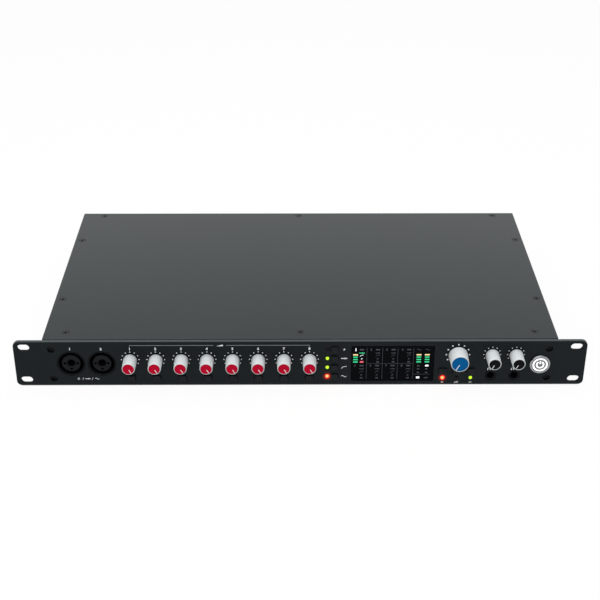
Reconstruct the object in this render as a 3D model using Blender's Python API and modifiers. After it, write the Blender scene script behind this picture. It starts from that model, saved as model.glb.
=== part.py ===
"""Rack-mounted audio interface, one rack unit high, as an assembly of separate parts.

Units are metres, +Z is up, the front panel faces -Y and +X is to its right seen from the front.
Places are worked out from the middle of the panel's front face, at its bottom edge. A root empty then
moves the assembly so that its origin is the middle of its footprint.
Parts that face the front are drawn flat in (x, height) and grow along their own z towards the viewer.
Parts that face the back are drawn the same way, as seen from behind.
"""

import math

import bmesh
import bpy
from mathutils import Matrix

# Fits that parts share
FIT_GAP = 0.0003
SLIDE_GAP = 0.00025
WELD = 0.000001

# Facets of round parts
LARGE_STEPS = 20
KNOB_STEPS = 18
JACK_STEPS = 12
SMALL_STEPS = 8
CORNER_STEPS = 3
SMOOTH_ANGLE = math.radians(35)

# Front panel
EAR_WIDTH = 0.0238
PANEL_HEIGHT = 0.0440
PANEL_THICK = 0.0030
PANEL_CORNER = 0.0050
SLOT_INSET = 0.00875
SLOT_SPACING = 0.03175
SLOT_LENGTH = 0.0105
SLOT_HEIGHT = 0.0070
PANEL_SCREW_INSET = 0.0081
PANEL_SCREW_EDGE = 0.00775
PANEL_SCREW_BORE = 0.0034
PANEL_SCREW_HEAD = 0.0062
PANEL_SCREW_SINK = 0.0018

# Case
CASE_WIDTH = 0.4350
CASE_DEPTH = 0.2490
SHEET = 0.0012
COVER_THICK = 0.0015
COVER_DROP = 0.0010
SIDE_LIP = 0.0140
BACK_LIP = 0.0120
RAIL_DEPTH = 0.0120
RAIL_THICK = 0.0020
TAB_SIZE = 0.0090
TAB_THICK = 0.0030
PILOT_BORE = 0.0025
COVER_SCREW_BORE = 0.0034
COVER_SCREW_HEAD = 0.0060
COVER_SCREW_SINK = 0.0012
SIDE_SCREW_INSET = 0.0067
SIDE_SCREW_FRONT = 0.0713
SIDE_SCREW_BACK = 0.0607
FRONT_SCREW_INSET = 0.0137
FRONT_SCREW_SIDE = 0.0183
BACK_SCREW_INSET = 0.0060
BACK_SCREW_SIDE = 0.0215

# Boards and power supply
BOARD_THICK = 0.0016
CONTROL_STANDOFF = 0.0115
CONTROL_MARGIN = 0.0090
CONTROL_DROP = 0.0185
PILLAR_HEIGHT = 0.0060
PILLAR_DIAMETER = 0.0070
PILLAR_INSET = 0.0080
MAIN_LEFT_INSET = 0.0120
MAIN_TO_SUPPLY = 0.0075
MAIN_FRONT = 0.0300
MAIN_BACK_INSET = 0.0030
SUPPLY_WIDTH = 0.0900
SUPPLY_LENGTH = 0.1500
SUPPLY_HEIGHT = 0.0320
SUPPLY_SIDE_INSET = 0.0180
SUPPLY_TO_INLET = 0.0203
SUPPLY_BEVEL = 0.0020

# Knobs: the pale body is one piece with its shaft, and the cap is pressed into its front
KNOB_LIFT = 0.0008
KNOB_RIM = 0.0005
CAP_SINK = 0.0010
CAP_EDGE = 0.0002
POINTER_WIDTH = 0.0009
POINTER_DEPTH = 0.0003
POINTER_START = 0.0008
POINTER_REST = math.radians(150)
SHAFT_DIAMETER = 0.0060
SHAFT_REACH = 0.0080
SHAFT_CLEARANCE = 0.0006
BUSHING_WALL = 0.0012
POT_WIDTH = 0.0096
POT_HEIGHT = 0.0105
POT_DEPTH = 0.0060

CHANNELS = 8
GAIN_TO_INPUT = 0.02415
GAIN_TO_LIGHTS = 0.015155
GAIN_RISE = 0.00435
GAIN_KNOB_BASE = 0.0116
GAIN_KNOB_TIP = 0.0108
GAIN_KNOB_LENGTH = 0.0155
GAIN_KNOB_WALL = 0.0008

MONITOR_TO_PHONES = 0.0289
MONITOR_RISE = 0.0086
MONITOR_KNOB_BASE = 0.0162
MONITOR_KNOB_TIP = 0.0150
MONITOR_KNOB_LENGTH = 0.0155
MONITOR_KNOB_WALL = 0.0009

PHONES = 2
PHONES_TO_POWER = 0.02095
PHONES_PITCH = 0.02005
PHONES_RISE = 0.0086
PHONES_KNOB_BASE = 0.0116
PHONES_KNOB_TIP = 0.0108
PHONES_KNOB_LENGTH = 0.0162
PHONES_KNOB_WALL = 0.00065

# Push buttons
BUTTON_CORNER = 0.0006
BUTTON_PROUD = 0.0016
BUTTON_CROWN = 0.0004
BUTTON_FLANGE = 0.0008
BUTTON_FLANGE_THICK = 0.0010
BUTTON_TRAVEL = 0.0008
STEM_DIAMETER = 0.0030
SWITCH_SIZE = 0.0060
SWITCH_DEPTH = 0.0040
SWITCH_FLOOR = 0.0006

SELECT_RISE = -0.0140
SELECT_WIDTH = 0.0062
SELECT_HEIGHT = 0.0050

MODES = 4
MODE_TO_DISPLAY = 0.0145
MODE_FIRST_RISE = 0.0139
MODE_PITCH = 0.00888
MODE_WIDTH = 0.0058
MODE_HEIGHT = 0.0050

MONITOR_BUTTONS = 3
MONITOR_BUTTON_PITCH = 0.0120
MONITOR_BUTTON_RISE = -0.0077
MONITOR_BUTTON_WIDTH = 0.0066
MONITOR_BUTTON_HEIGHT = 0.0054

# Indicator lights: pegs of a clear bar that lies behind the panel
LIGHT_DIAMETER = 0.0026
LIGHT_PROUD = 0.0005
LIGHT_BAR = 0.0032
LIGHT_BAR_THICK = 0.0018
LIGHT_TO_MODE = 0.0060
MONITOR_LIGHT_RISE = -0.0145

# Display
DISPLAY_TO_BUTTONS = 0.0081
DISPLAY_RISE = -0.0003
DISPLAY_WIDTH = 0.0695
DISPLAY_HEIGHT = 0.0340
DISPLAY_CORNER = 0.0008
DISPLAY_SINK = 0.0001
DISPLAY_FLANGE = 0.0018
DISPLAY_FLANGE_THICK = 0.0012
MODULE_MARGIN = 0.0015

# Combined microphone and jack sockets
INPUTS = 2
INPUT_SIDE_GAP = 0.0110
INPUT_SPACING = 0.0004
INPUT_RISE = 0.0003
INPUT_MOUTH = 0.0214
INPUT_WALL = 0.0009
INPUT_SHOULDER = 0.0012
INPUT_FLOOR = 0.0040
INPUT_CORE_SINK = 0.0006
GROOVE_WIDTH = 0.0028
GROOVE_DEPTH = 0.0140
PIN_BORE = 0.0026
PIN_CIRCLE = 0.0104
PIN_DEPTH = 0.0080
JACK_BORE = 0.0066
JACK_DEPTH = 0.0220

# Headphone sockets
PHONES_SOCKET_RISE = -0.01235
PHONES_WALL = 0.0012
PHONES_SHOULDER = 0.0017
PHONES_FLOOR = 0.0040
PHONES_BORE_DEPTH = 0.0260

# Power button and its bezel
POWER_SIDE_INSET = 0.0148
POWER_RISE = -0.00075
BEZEL_LIP = 0.0009
BEZEL_PROUD = 0.0020
BEZEL_CHAMFER = 0.0006
BARREL_WALL = 0.00105
BARREL_DEPTH = 0.0200
BARREL_FLOOR = 0.0015
POWER_BUTTON = 0.0134
POWER_BUTTON_SINK = 0.0003
POWER_BUTTON_THICK = 0.0060
POWER_STEM = 0.0050
POWER_TRAVEL = 0.0015

# Back panel, with places as seen from behind
BACK_INPUTS = 6
BACK_INPUT_SIDE_GAP = 0.0097
BACK_INPUT_SPACING = 0.0009
BACK_INPUT_FLOOR = 0.0020
BACK_BLOCK_DEPTH = 0.0060
OUTPUT_COLUMNS = 5
OUTPUT_ROWS = 2
OUTPUT_TO_INPUT = 0.0127
OUTPUT_PITCH = 0.0160
OUTPUT_ROW_PITCH = 0.0150
OUTPUT_NOSE = 0.0110
OUTPUT_PROUD = 0.0018
OUTPUT_FLOOR = 0.0040
OUTPUT_BORE_DEPTH = 0.0240
OPTICAL_PORTS = 2
OPTICAL_TO_OUTPUT = 0.0060
OPTICAL_SIZE = 0.0097
OPTICAL_SHOULDER = 0.00165
OPTICAL_WALL = 0.0012
OPTICAL_DEPTH = 0.0120
OPTICAL_POCKET = 0.0070
USB_TO_OPTICAL = 0.0104
USB_WIDTH = 0.0092
USB_HEIGHT = 0.0034
USB_WALL = 0.0003
USB_DEPTH = 0.0085
USB_POCKET = 0.0065
USB_PLINTH = 0.0012
INLET_SIDE_GAP = 0.0185
INLET_SIDE_WALL = 0.0019
INLET_TOP_WALL = 0.0028
INLET_CORNER = 0.0020
INLET_DEPTH = 0.0240
INLET_POCKET_WIDTH = 0.0242
INLET_POCKET_HEIGHT = 0.0164
INLET_POCKET = 0.0160
INLET_EAR = 0.0100
INLET_LIP = 0.0020
INLET_FLANGE_THICK = 0.0020
INLET_PIN_WIDTH = 0.0020
INLET_PIN_HEIGHT = 0.0040
INLET_PIN_LENGTH = 0.0140
INLET_PIN_SPREAD = 0.0070
INLET_PIN_RISE = 0.0020

# Sizes that follow from the sizes above
PANEL_WIDTH = CASE_WIDTH + 2 * EAR_WIDTH
INPUT_NOSE = INPUT_MOUTH + 2 * INPUT_WALL
INPUT_HOUSING = INPUT_NOSE + 2 * INPUT_SHOULDER
INPUT_CORE = INPUT_MOUTH - 2 * GROOVE_WIDTH
PHONES_NOSE = JACK_BORE + 2 * PHONES_WALL
PHONES_HOUSING = PHONES_NOSE + 2 * PHONES_SHOULDER
BARREL_BORE = POWER_BUTTON + 2 * SLIDE_GAP
BARREL_DIAMETER = BARREL_BORE + 2 * BARREL_WALL
BEZEL_DIAMETER = BARREL_DIAMETER + 2 * BEZEL_LIP
OPTICAL_PITCH = OPTICAL_SIZE + 2 * OPTICAL_SHOULDER
INLET_WIDTH = INLET_POCKET_WIDTH + 2 * INLET_SIDE_WALL
INLET_HEIGHT = INLET_POCKET_HEIGHT + 2 * INLET_TOP_WALL
INLET_FLANGE_WIDTH = INLET_WIDTH + 2 * INLET_EAR
INLET_FLANGE_HEIGHT = INLET_HEIGHT + 2 * INLET_LIP
INLET_FRONT = INLET_FLANGE_THICK + FIT_GAP

# Planes and edges of the case and of what lies in it
MID = PANEL_HEIGHT / 2
CASE_SIDE = CASE_WIDTH / 2
CASE_FRONT = PANEL_THICK + FIT_GAP
CASE_BACK = CASE_FRONT + CASE_DEPTH
TRAY_BACK = CASE_BACK - SHEET - FIT_GAP
COVER_TOP = PANEL_HEIGHT - COVER_DROP
CASE_TOP = COVER_TOP - COVER_THICK - FIT_GAP
RAIL_BOTTOM = CASE_TOP - RAIL_THICK
INNER_SIDE = CASE_SIDE - SIDE_LIP - FIT_GAP
BEHIND_PANEL = -CASE_FRONT
CONTROL_FRONT = -(PANEL_THICK + CONTROL_STANDOFF)
SUPPLY_RIGHT = CASE_SIDE - SUPPLY_SIDE_INSET
SUPPLY_LEFT = SUPPLY_RIGHT - SUPPLY_WIDTH
SUPPLY_BACK = CASE_BACK + INLET_FLANGE_THICK - INLET_DEPTH - SUPPLY_TO_INLET
MAIN_LEFT = -(CASE_SIDE - MAIN_LEFT_INSET)
MAIN_RIGHT = SUPPLY_LEFT - MAIN_TO_SUPPLY
MAIN_BACK = TRAY_BACK - MAIN_BACK_INSET
MAIN_TOP = SHEET + PILLAR_HEIGHT + FIT_GAP + BOARD_THICK
ON_MAIN = MAIN_TOP + FIT_GAP
FRONT_REACH = max(GAIN_KNOB_LENGTH, MONITOR_KNOB_LENGTH, PHONES_KNOB_LENGTH)
BACK_REACH = CASE_BACK + max(INLET_FRONT, OUTPUT_PROUD)
FRONT_TO_ORIGIN = -(BACK_REACH - FRONT_REACH) / 2

FACING_FRONT = (math.radians(90), 0, 0)
FACING_BACK = (math.radians(90), 0, math.radians(180))

# Front controls: the inputs lie by the left side, the other groups follow each other from the right
# side, and the gain knobs spread over what is left between them
INPUT_FIRST_X = -CASE_SIDE + INPUT_SIDE_GAP + INPUT_HOUSING / 2
INPUT_COLUMNS = [INPUT_FIRST_X + i * (INPUT_HOUSING + INPUT_SPACING) for i in range(INPUTS)]
POWER_X = CASE_SIDE - POWER_SIDE_INSET
PHONES_COLUMNS = [POWER_X - PHONES_TO_POWER - i * PHONES_PITCH for i in reversed(range(PHONES))]
MONITOR_X = PHONES_COLUMNS[0] - MONITOR_TO_PHONES
MONITOR_COLUMNS = [
    MONITOR_X + (i - (MONITOR_BUTTONS - 1) / 2) * MONITOR_BUTTON_PITCH for i in range(MONITOR_BUTTONS)
]
DISPLAY_X = MONITOR_COLUMNS[0] - DISPLAY_TO_BUTTONS - DISPLAY_WIDTH / 2
MODE_X = DISPLAY_X - DISPLAY_WIDTH / 2 - MODE_TO_DISPLAY
MODE_LIGHT_X = MODE_X - LIGHT_TO_MODE
GAIN_FIRST_X = INPUT_COLUMNS[-1] + GAIN_TO_INPUT
GAIN_PITCH = (MODE_LIGHT_X - GAIN_TO_LIGHTS - GAIN_FIRST_X) / (CHANNELS - 1)
GAIN_COLUMNS = [GAIN_FIRST_X + i * GAIN_PITCH for i in range(CHANNELS)]
MODE_HEIGHTS = [MID + MODE_FIRST_RISE - i * MODE_PITCH for i in range(MODES)]

INPUT_PLACES = [(x, MID + INPUT_RISE) for x in INPUT_COLUMNS]
GAIN_PLACES = [(x, MID + GAIN_RISE) for x in GAIN_COLUMNS]
SELECT_PLACES = [(x, MID + SELECT_RISE) for x in GAIN_COLUMNS]
MODE_PLACES = [(MODE_X, height) for height in MODE_HEIGHTS]
MODE_LIGHT_PLACES = [(MODE_LIGHT_X, height) for height in MODE_HEIGHTS]
DISPLAY_PLACE = (DISPLAY_X, MID + DISPLAY_RISE)
MONITOR_PLACE = (MONITOR_X, MID + MONITOR_RISE)
MONITOR_BUTTON_PLACES = [(x, MID + MONITOR_BUTTON_RISE) for x in MONITOR_COLUMNS]
MONITOR_LIGHT_PLACES = [(x, MID + MONITOR_LIGHT_RISE) for x in MONITOR_COLUMNS]
PHONES_PLACES = [(x, MID + PHONES_RISE) for x in PHONES_COLUMNS]
PHONES_SOCKET_PLACES = [(x, MID + PHONES_SOCKET_RISE) for x in PHONES_COLUMNS]
POWER_PLACE = (POWER_X, MID + POWER_RISE)
KNOB_PLACES = GAIN_PLACES + [MONITOR_PLACE] + PHONES_PLACES
BUTTON_PLACES = SELECT_PLACES + MODE_PLACES + MONITOR_BUTTON_PLACES

# Slots and screws
SLOT_PLACES = [
    (side * (PANEL_WIDTH / 2 - SLOT_INSET), MID + row * SLOT_SPACING / 2)
    for side in (-1, 1)
    for row in (-1, 1)
]
PANEL_SCREW_PLACES = [
    (side * (CASE_SIDE - PANEL_SCREW_INSET), height)
    for side in (-1, 1)
    for height in (PANEL_SCREW_EDGE, PANEL_HEIGHT - PANEL_SCREW_EDGE)
]
SIDE_SCREW_PLACES = [
    (side * (CASE_SIDE - SIDE_SCREW_INSET), y)
    for side in (-1, 1)
    for y in (CASE_FRONT + SIDE_SCREW_FRONT, CASE_BACK - SIDE_SCREW_BACK)
]
FRONT_SCREW_PLACES = [
    (i * (CASE_SIDE - FRONT_SCREW_SIDE), CASE_FRONT + FRONT_SCREW_INSET) for i in (-1, 0, 1)
]
BACK_SCREW_PLACES = [(i * (CASE_SIDE - BACK_SCREW_SIDE), CASE_BACK - BACK_SCREW_INSET) for i in (-1, 0, 1)]
COVER_SCREW_PLACES = SIDE_SCREW_PLACES + FRONT_SCREW_PLACES + BACK_SCREW_PLACES

# Back connectors: the inputs lie by the right side, the other groups follow each other from there, and
# the mains inlet lies by the left side
BACK_INPUT_PITCH = INPUT_HOUSING + BACK_INPUT_SPACING
BACK_INPUT_LAST_X = CASE_SIDE - BACK_INPUT_SIDE_GAP - INPUT_HOUSING / 2
BACK_INPUT_PLACES = [
    (BACK_INPUT_LAST_X - i * BACK_INPUT_PITCH, ON_MAIN + INPUT_HOUSING / 2)
    for i in reversed(range(BACK_INPUTS))
]
OUTPUT_RIGHT = BACK_INPUT_PLACES[0][0] - INPUT_HOUSING / 2 - OUTPUT_TO_INPUT
OUTPUT_LEFT = OUTPUT_RIGHT - OUTPUT_COLUMNS * OUTPUT_PITCH
OUTPUT_PLACES = [
    (OUTPUT_LEFT + (column + 0.5) * OUTPUT_PITCH, ON_MAIN + (row + 0.5) * OUTPUT_ROW_PITCH)
    for column in range(OUTPUT_COLUMNS)
    for row in range(OUTPUT_ROWS)
]
OPTICAL_RIGHT = OUTPUT_LEFT - OPTICAL_TO_OUTPUT
OPTICAL_LEFT = OPTICAL_RIGHT - OPTICAL_PORTS * OPTICAL_PITCH
OPTICAL_PLACES = [
    (OPTICAL_LEFT + (i + 0.5) * OPTICAL_PITCH, ON_MAIN + OPTICAL_PITCH / 2) for i in range(OPTICAL_PORTS)
]
USB_X = OPTICAL_LEFT - USB_TO_OPTICAL - USB_WIDTH / 2
USB_PLACE = (USB_X, ON_MAIN + USB_PLINTH + USB_HEIGHT / 2)
INLET_X = -(CASE_SIDE - INLET_SIDE_GAP - INLET_FLANGE_WIDTH / 2)
INLET_PLACE = (INLET_X, MID)


def linear(channel):
    return channel / 12.92 if channel <= 0.04045 else ((channel + 0.055) / 1.055) ** 2.4


def make_material(name, hex_colour, roughness, metallic=0.0):
    channels = [int(hex_colour[i : i + 2], 16) / 255 for i in (0, 2, 4)]
    material = bpy.data.materials.new(name)
    material.use_nodes = True
    shader = material.node_tree.nodes["Principled BSDF"]
    shader.inputs["Base Color"].default_value = (*map(linear, channels), 1)
    shader.inputs["Roughness"].default_value = roughness
    shader.inputs["Metallic"].default_value = metallic
    return material


def circle(place, diameter, steps):
    """Points of a round outline whose flats lie outside the true circle, so a hole is never too small."""
    radius = diameter / 2 / math.cos(math.pi / steps)
    angles = [math.tau * (i + 0.5) / steps for i in range(steps)]
    return [(place[0] + radius * math.cos(a), place[1] + radius * math.sin(a)) for a in angles]


def rounded_box(place, width, height, corner, steps=CORNER_STEPS):
    """Points of a rectangle with round corners. A corner of half the height makes a slot with round ends."""
    points = []
    for turn, (sx, sy) in enumerate(((1, 1), (-1, 1), (-1, -1), (1, -1))):
        centre_x = place[0] + sx * (width / 2 - corner)
        centre_y = place[1] + sy * (height / 2 - corner)
        for i in range(steps + 1):
            angle = math.pi / 2 * (turn + i / steps)
            points.append((centre_x + corner * math.cos(angle), centre_y + corner * math.sin(angle)))
    return [here for before, here in zip(points[-1:] + points, points) if math.dist(before, here) > WELD]


def weld(mesh):
    """Closes the seams of a freshly made mesh and turns its faces outwards."""
    shape = bmesh.new()
    shape.from_mesh(mesh)
    bmesh.ops.remove_doubles(shape, verts=shape.verts, dist=WELD)
    bmesh.ops.recalc_face_normals(shape, faces=shape.faces)
    shape.to_mesh(mesh)
    shape.free()
    return mesh


def evaluated_mesh(data, modifiers=()):
    """The mesh that a curve or mesh makes, with each modifier given as its kind and settings."""
    holder = bpy.data.objects.new("holder", data)
    bpy.context.scene.collection.objects.link(holder)
    for kind, settings in modifiers:
        modifier = holder.modifiers.new(kind, kind)
        for name, value in settings.items():
            setattr(modifier, name, value)
    graph = bpy.context.evaluated_depsgraph_get()
    mesh = bpy.data.meshes.new_from_object(holder.evaluated_get(graph))
    bpy.data.objects.remove(holder)
    return mesh


def slab(outline, thick, front=0.0):
    """A flat outline grown backwards from the height front."""
    curve = bpy.data.curves.new("outline", "CURVE")
    curve.dimensions = "2D"
    curve.fill_mode = "BOTH"
    curve.extrude = thick / 2
    spline = curve.splines.new("POLY")
    spline.points.add(len(outline) - 1)
    for point, (x, y) in zip(spline.points, outline):
        point.co = (x, y, 0, 1)
    spline.use_cyclic_u = True
    mesh = weld(evaluated_mesh(curve))
    bpy.data.curves.remove(curve)
    mesh.transform(Matrix.Translation((0, 0, front - thick / 2)))
    return mesh


def plate(outline, holes, thick, front=0.0):
    """A flat plate with its front face at the height front, and holes right through it."""
    tools = [slab(hole, 3 * thick, front + thick) for hole in holes]
    return cut(slab(outline, thick, front), tools)


def turned(profile, steps, place=(0.0, 0.0)):
    """A shape turned about its own z, from (radius, z) points that run down its outer side."""
    mesh = bpy.data.meshes.new("profile")
    points = [(radius, 0, z) for radius, z in profile]
    edges = [(i, i + 1) for i in range(len(points) - 1)]
    mesh.from_pydata(points, edges, [])
    settings = {
        "steps": steps,
        "render_steps": steps,
        "use_merge_vertices": True,
        "merge_threshold": WELD,
    }
    shape = weld(evaluated_mesh(mesh, [("SCREW", settings)]))
    shape.transform(Matrix.Translation((*place, 0)))
    return shape


def rod(place, diameter, top, bottom, steps=SMALL_STEPS):
    """A cylinder along its own z, with its flats on the true circle."""
    shape = bmesh.new()
    bmesh.ops.create_cone(
        shape,
        cap_ends=True,
        segments=steps,
        radius1=diameter / 2 / math.cos(math.pi / steps),
        radius2=diameter / 2 / math.cos(math.pi / steps),
        depth=top - bottom,
        matrix=Matrix.Translation((*place, (top + bottom) / 2)),
    )
    mesh = bpy.data.meshes.new("rod")
    shape.to_mesh(mesh)
    shape.free()
    return mesh


def box(low, high, bevel=0.0):
    """A box between two corners."""
    size = [b - a for a, b in zip(low, high)]
    centre = [(a + b) / 2 for a, b in zip(low, high)]
    shape = bmesh.new()
    bmesh.ops.create_cube(shape, size=1, matrix=Matrix.Translation(centre) @ Matrix.Diagonal((*size, 1)))
    if bevel:
        bmesh.ops.bevel(shape, geom=shape.edges, offset=bevel, segments=1, affect="EDGES")
    mesh = bpy.data.meshes.new("box")
    shape.to_mesh(mesh)
    shape.free()
    return mesh


def gathered(meshes):
    """Several meshes that don't touch, as one tool."""
    shape = bmesh.new()
    for mesh in meshes:
        shape.from_mesh(mesh)
    result = bpy.data.meshes.new("tools")
    shape.to_mesh(result)
    shape.free()
    return result


def combined(mesh, tools, operation):
    """The mesh with tools that don't touch each other cut out of it or joined to it."""
    tool = bpy.data.objects.new("tool", gathered(tools))
    tool.hide_render = True
    tool.display_type = "WIRE"
    bpy.data.collections["cutters"].objects.link(tool)
    result = evaluated_mesh(mesh, [("BOOLEAN", {"operation": operation, "object": tool})])
    bpy.data.objects.remove(tool)
    return weld(result)


def cut(mesh, tools):
    return combined(mesh, tools, "DIFFERENCE")


def join(mesh, tools):
    return combined(mesh, tools, "UNION")


def add_part(name, mesh, material, location=(0, 0, 0), rotation=(0, 0, 0)):
    part = bpy.data.objects.new(name, mesh)
    if not mesh.materials:
        mesh.materials.append(material)
        mesh.shade_smooth()
        mesh.set_sharp_from_angle(angle=SMOOTH_ANGLE)
    part.location = location
    part.rotation_euler = rotation
    part.parent = bpy.data.objects["audio_interface"]
    bpy.data.collections["audio_interface_parts"].objects.link(part)
    return part


def add_front_part(name, mesh, material, place=(0, 0)):
    return add_part(name, mesh, material, (place[0], 0, place[1]), FACING_FRONT)


def add_back_part(name, mesh, material):
    return add_part(name, mesh, material, (0, CASE_BACK, 0), FACING_BACK)


def front_panel(paint):
    """Thick plate with the rack slots in its ears and an opening for each control."""
    outline = rounded_box((0, MID), PANEL_WIDTH, PANEL_HEIGHT, PANEL_CORNER)
    holes = [rounded_box(place, SLOT_LENGTH, SLOT_HEIGHT, SLOT_HEIGHT / 2) for place in SLOT_PLACES]
    for place in PANEL_SCREW_PLACES:
        holes.append(circle(place, PANEL_SCREW_BORE, SMALL_STEPS))
    for place in INPUT_PLACES:
        holes.append(circle(place, INPUT_NOSE + 2 * FIT_GAP, LARGE_STEPS))
    for place in KNOB_PLACES:
        holes.append(circle(place, SHAFT_DIAMETER + 2 * SHAFT_CLEARANCE, SMALL_STEPS))
    for place in PHONES_SOCKET_PLACES:
        holes.append(circle(place, PHONES_NOSE + 2 * FIT_GAP, JACK_STEPS))
    for place in MODE_LIGHT_PLACES + MONITOR_LIGHT_PLACES:
        holes.append(circle(place, LIGHT_DIAMETER + 2 * SLIDE_GAP, SMALL_STEPS))
    holes.append(circle(POWER_PLACE, BARREL_DIAMETER + 2 * FIT_GAP, LARGE_STEPS))
    window_width = DISPLAY_WIDTH + 2 * FIT_GAP
    window_height = DISPLAY_HEIGHT + 2 * FIT_GAP
    holes.append(rounded_box(DISPLAY_PLACE, window_width, window_height, DISPLAY_CORNER + FIT_GAP))
    for places, width, height in button_rows():
        for place in places:
            opening = (width + 2 * SLIDE_GAP, height + 2 * SLIDE_GAP)
            holes.append(rounded_box(place, *opening, BUTTON_CORNER + SLIDE_GAP, steps=1))
    heads = [rod(place, PANEL_SCREW_HEAD, SHEET, -PANEL_SCREW_SINK) for place in PANEL_SCREW_PLACES]
    add_front_part("front_panel", cut(plate(outline, holes, PANEL_THICK), heads), paint)


def button_rows():
    return (
        (SELECT_PLACES, SELECT_WIDTH, SELECT_HEIGHT),
        (MODE_PLACES, MODE_WIDTH, MODE_HEIGHT),
        (MONITOR_BUTTON_PLACES, MONITOR_BUTTON_WIDTH, MONITOR_BUTTON_HEIGHT),
    )


def chassis_tray(paint):
    """Folded sheet: floor, side walls and the lips under the cover, with screw tabs and board pillars."""
    fold = [
        (-CASE_SIDE + SIDE_LIP, CASE_TOP),
        (-CASE_SIDE, CASE_TOP),
        (-CASE_SIDE, 0),
        (CASE_SIDE, 0),
        (CASE_SIDE, CASE_TOP),
        (CASE_SIDE - SIDE_LIP, CASE_TOP),
    ]
    shape = bmesh.new()
    corners = [shape.verts.new((x, CASE_FRONT, z)) for x, z in fold]
    edges = [shape.edges.new(pair) for pair in zip(corners, corners[1:])]
    swept = bmesh.ops.extrude_edge_only(shape, edges=edges)["geom"]
    moved = [item for item in swept if isinstance(item, bmesh.types.BMVert)]
    bmesh.ops.translate(shape, verts=moved, vec=(0, TRAY_BACK - CASE_FRONT, 0))
    bmesh.ops.recalc_face_normals(shape, faces=shape.faces)
    mesh = bpy.data.meshes.new("fold")
    shape.to_mesh(mesh)
    shape.free()
    floor = min(mesh.polygons, key=lambda face: face.center.z)
    inward = -1 if floor.normal.z < 0 else 1
    solidify = {"thickness": SHEET, "offset": inward, "use_even_offset": True}
    mesh = weld(evaluated_mesh(mesh, [("SOLIDIFY", solidify)]))
    tabs = [screw_tab(place) for place in PANEL_SCREW_PLACES]
    pillars = [rod(place, PILLAR_DIAMETER, SHEET + PILLAR_HEIGHT, SHEET / 2) for place in pillar_places()]
    mesh = join(mesh, tabs + pillars)
    pilots = [tab_pilot(place) for place in PANEL_SCREW_PLACES]
    pilots += [rod(place, PILOT_BORE, COVER_TOP, CASE_TOP - 2 * SHEET) for place in SIDE_SCREW_PLACES]
    add_part("chassis_tray", cut(mesh, pilots), paint)


def screw_tab(place):
    """Block inside a side wall that a panel screw threads into."""
    side = math.copysign(1, place[0])
    inner = place[0] - side * TAB_SIZE / 2
    outer = side * (CASE_SIDE - SHEET / 2)
    low = (min(inner, outer), CASE_FRONT, place[1] - TAB_SIZE / 2)
    high = (max(inner, outer), CASE_FRONT + TAB_THICK, place[1] + TAB_SIZE / 2)
    return box(low, high)


def tab_pilot(place):
    pilot = rod((0, 0), PILOT_BORE, TAB_THICK, -TAB_THICK - CASE_FRONT)
    pilot.transform(Matrix.Rotation(FACING_FRONT[0], 4, "X"))
    pilot.transform(Matrix.Translation((place[0], CASE_FRONT, place[1])))
    return pilot


def pillar_places():
    columns = (MAIN_LEFT + PILLAR_INSET, (MAIN_LEFT + MAIN_RIGHT) / 2, MAIN_RIGHT - PILLAR_INSET)
    rows = (MAIN_FRONT + PILLAR_INSET, MAIN_BACK - PILLAR_INSET)
    return [(x, y) for x in columns for y in rows]


def front_rail(steel):
    """Bar behind the top of the front panel that takes the front screws of the cover."""
    middle = CASE_FRONT + FRONT_SCREW_INSET
    low = (-INNER_SIDE, middle - RAIL_DEPTH / 2, RAIL_BOTTOM)
    high = (INNER_SIDE, middle + RAIL_DEPTH / 2, CASE_TOP)
    pilots = [rod(place, PILOT_BORE, COVER_TOP, RAIL_BOTTOM - SHEET) for place in FRONT_SCREW_PLACES]
    add_part("front_rail", cut(box(low, high), pilots), steel)


def top_cover(paint):
    """Flat lid with countersunk holes along its four edges."""
    outline = rounded_box((0, CASE_FRONT + CASE_DEPTH / 2), CASE_WIDTH, CASE_DEPTH, SHEET, steps=2)
    holes = [circle(place, COVER_SCREW_BORE, SMALL_STEPS) for place in COVER_SCREW_PLACES]
    mesh = plate(outline, holes, COVER_THICK, COVER_TOP)
    above = COVER_SCREW_SINK
    slope = (COVER_SCREW_HEAD - COVER_SCREW_BORE) / 2 / COVER_SCREW_SINK
    bottom = COVER_SCREW_BORE / 2
    top = bottom + slope * (COVER_SCREW_SINK + above)
    profile = [
        (0, COVER_TOP + above),
        (top, COVER_TOP + above),
        (bottom, COVER_TOP - COVER_SCREW_SINK),
        (0, COVER_TOP - COVER_SCREW_SINK),
    ]
    add_part("top_cover", cut(mesh, [turned(profile, SMALL_STEPS, p) for p in COVER_SCREW_PLACES]), paint)


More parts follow.
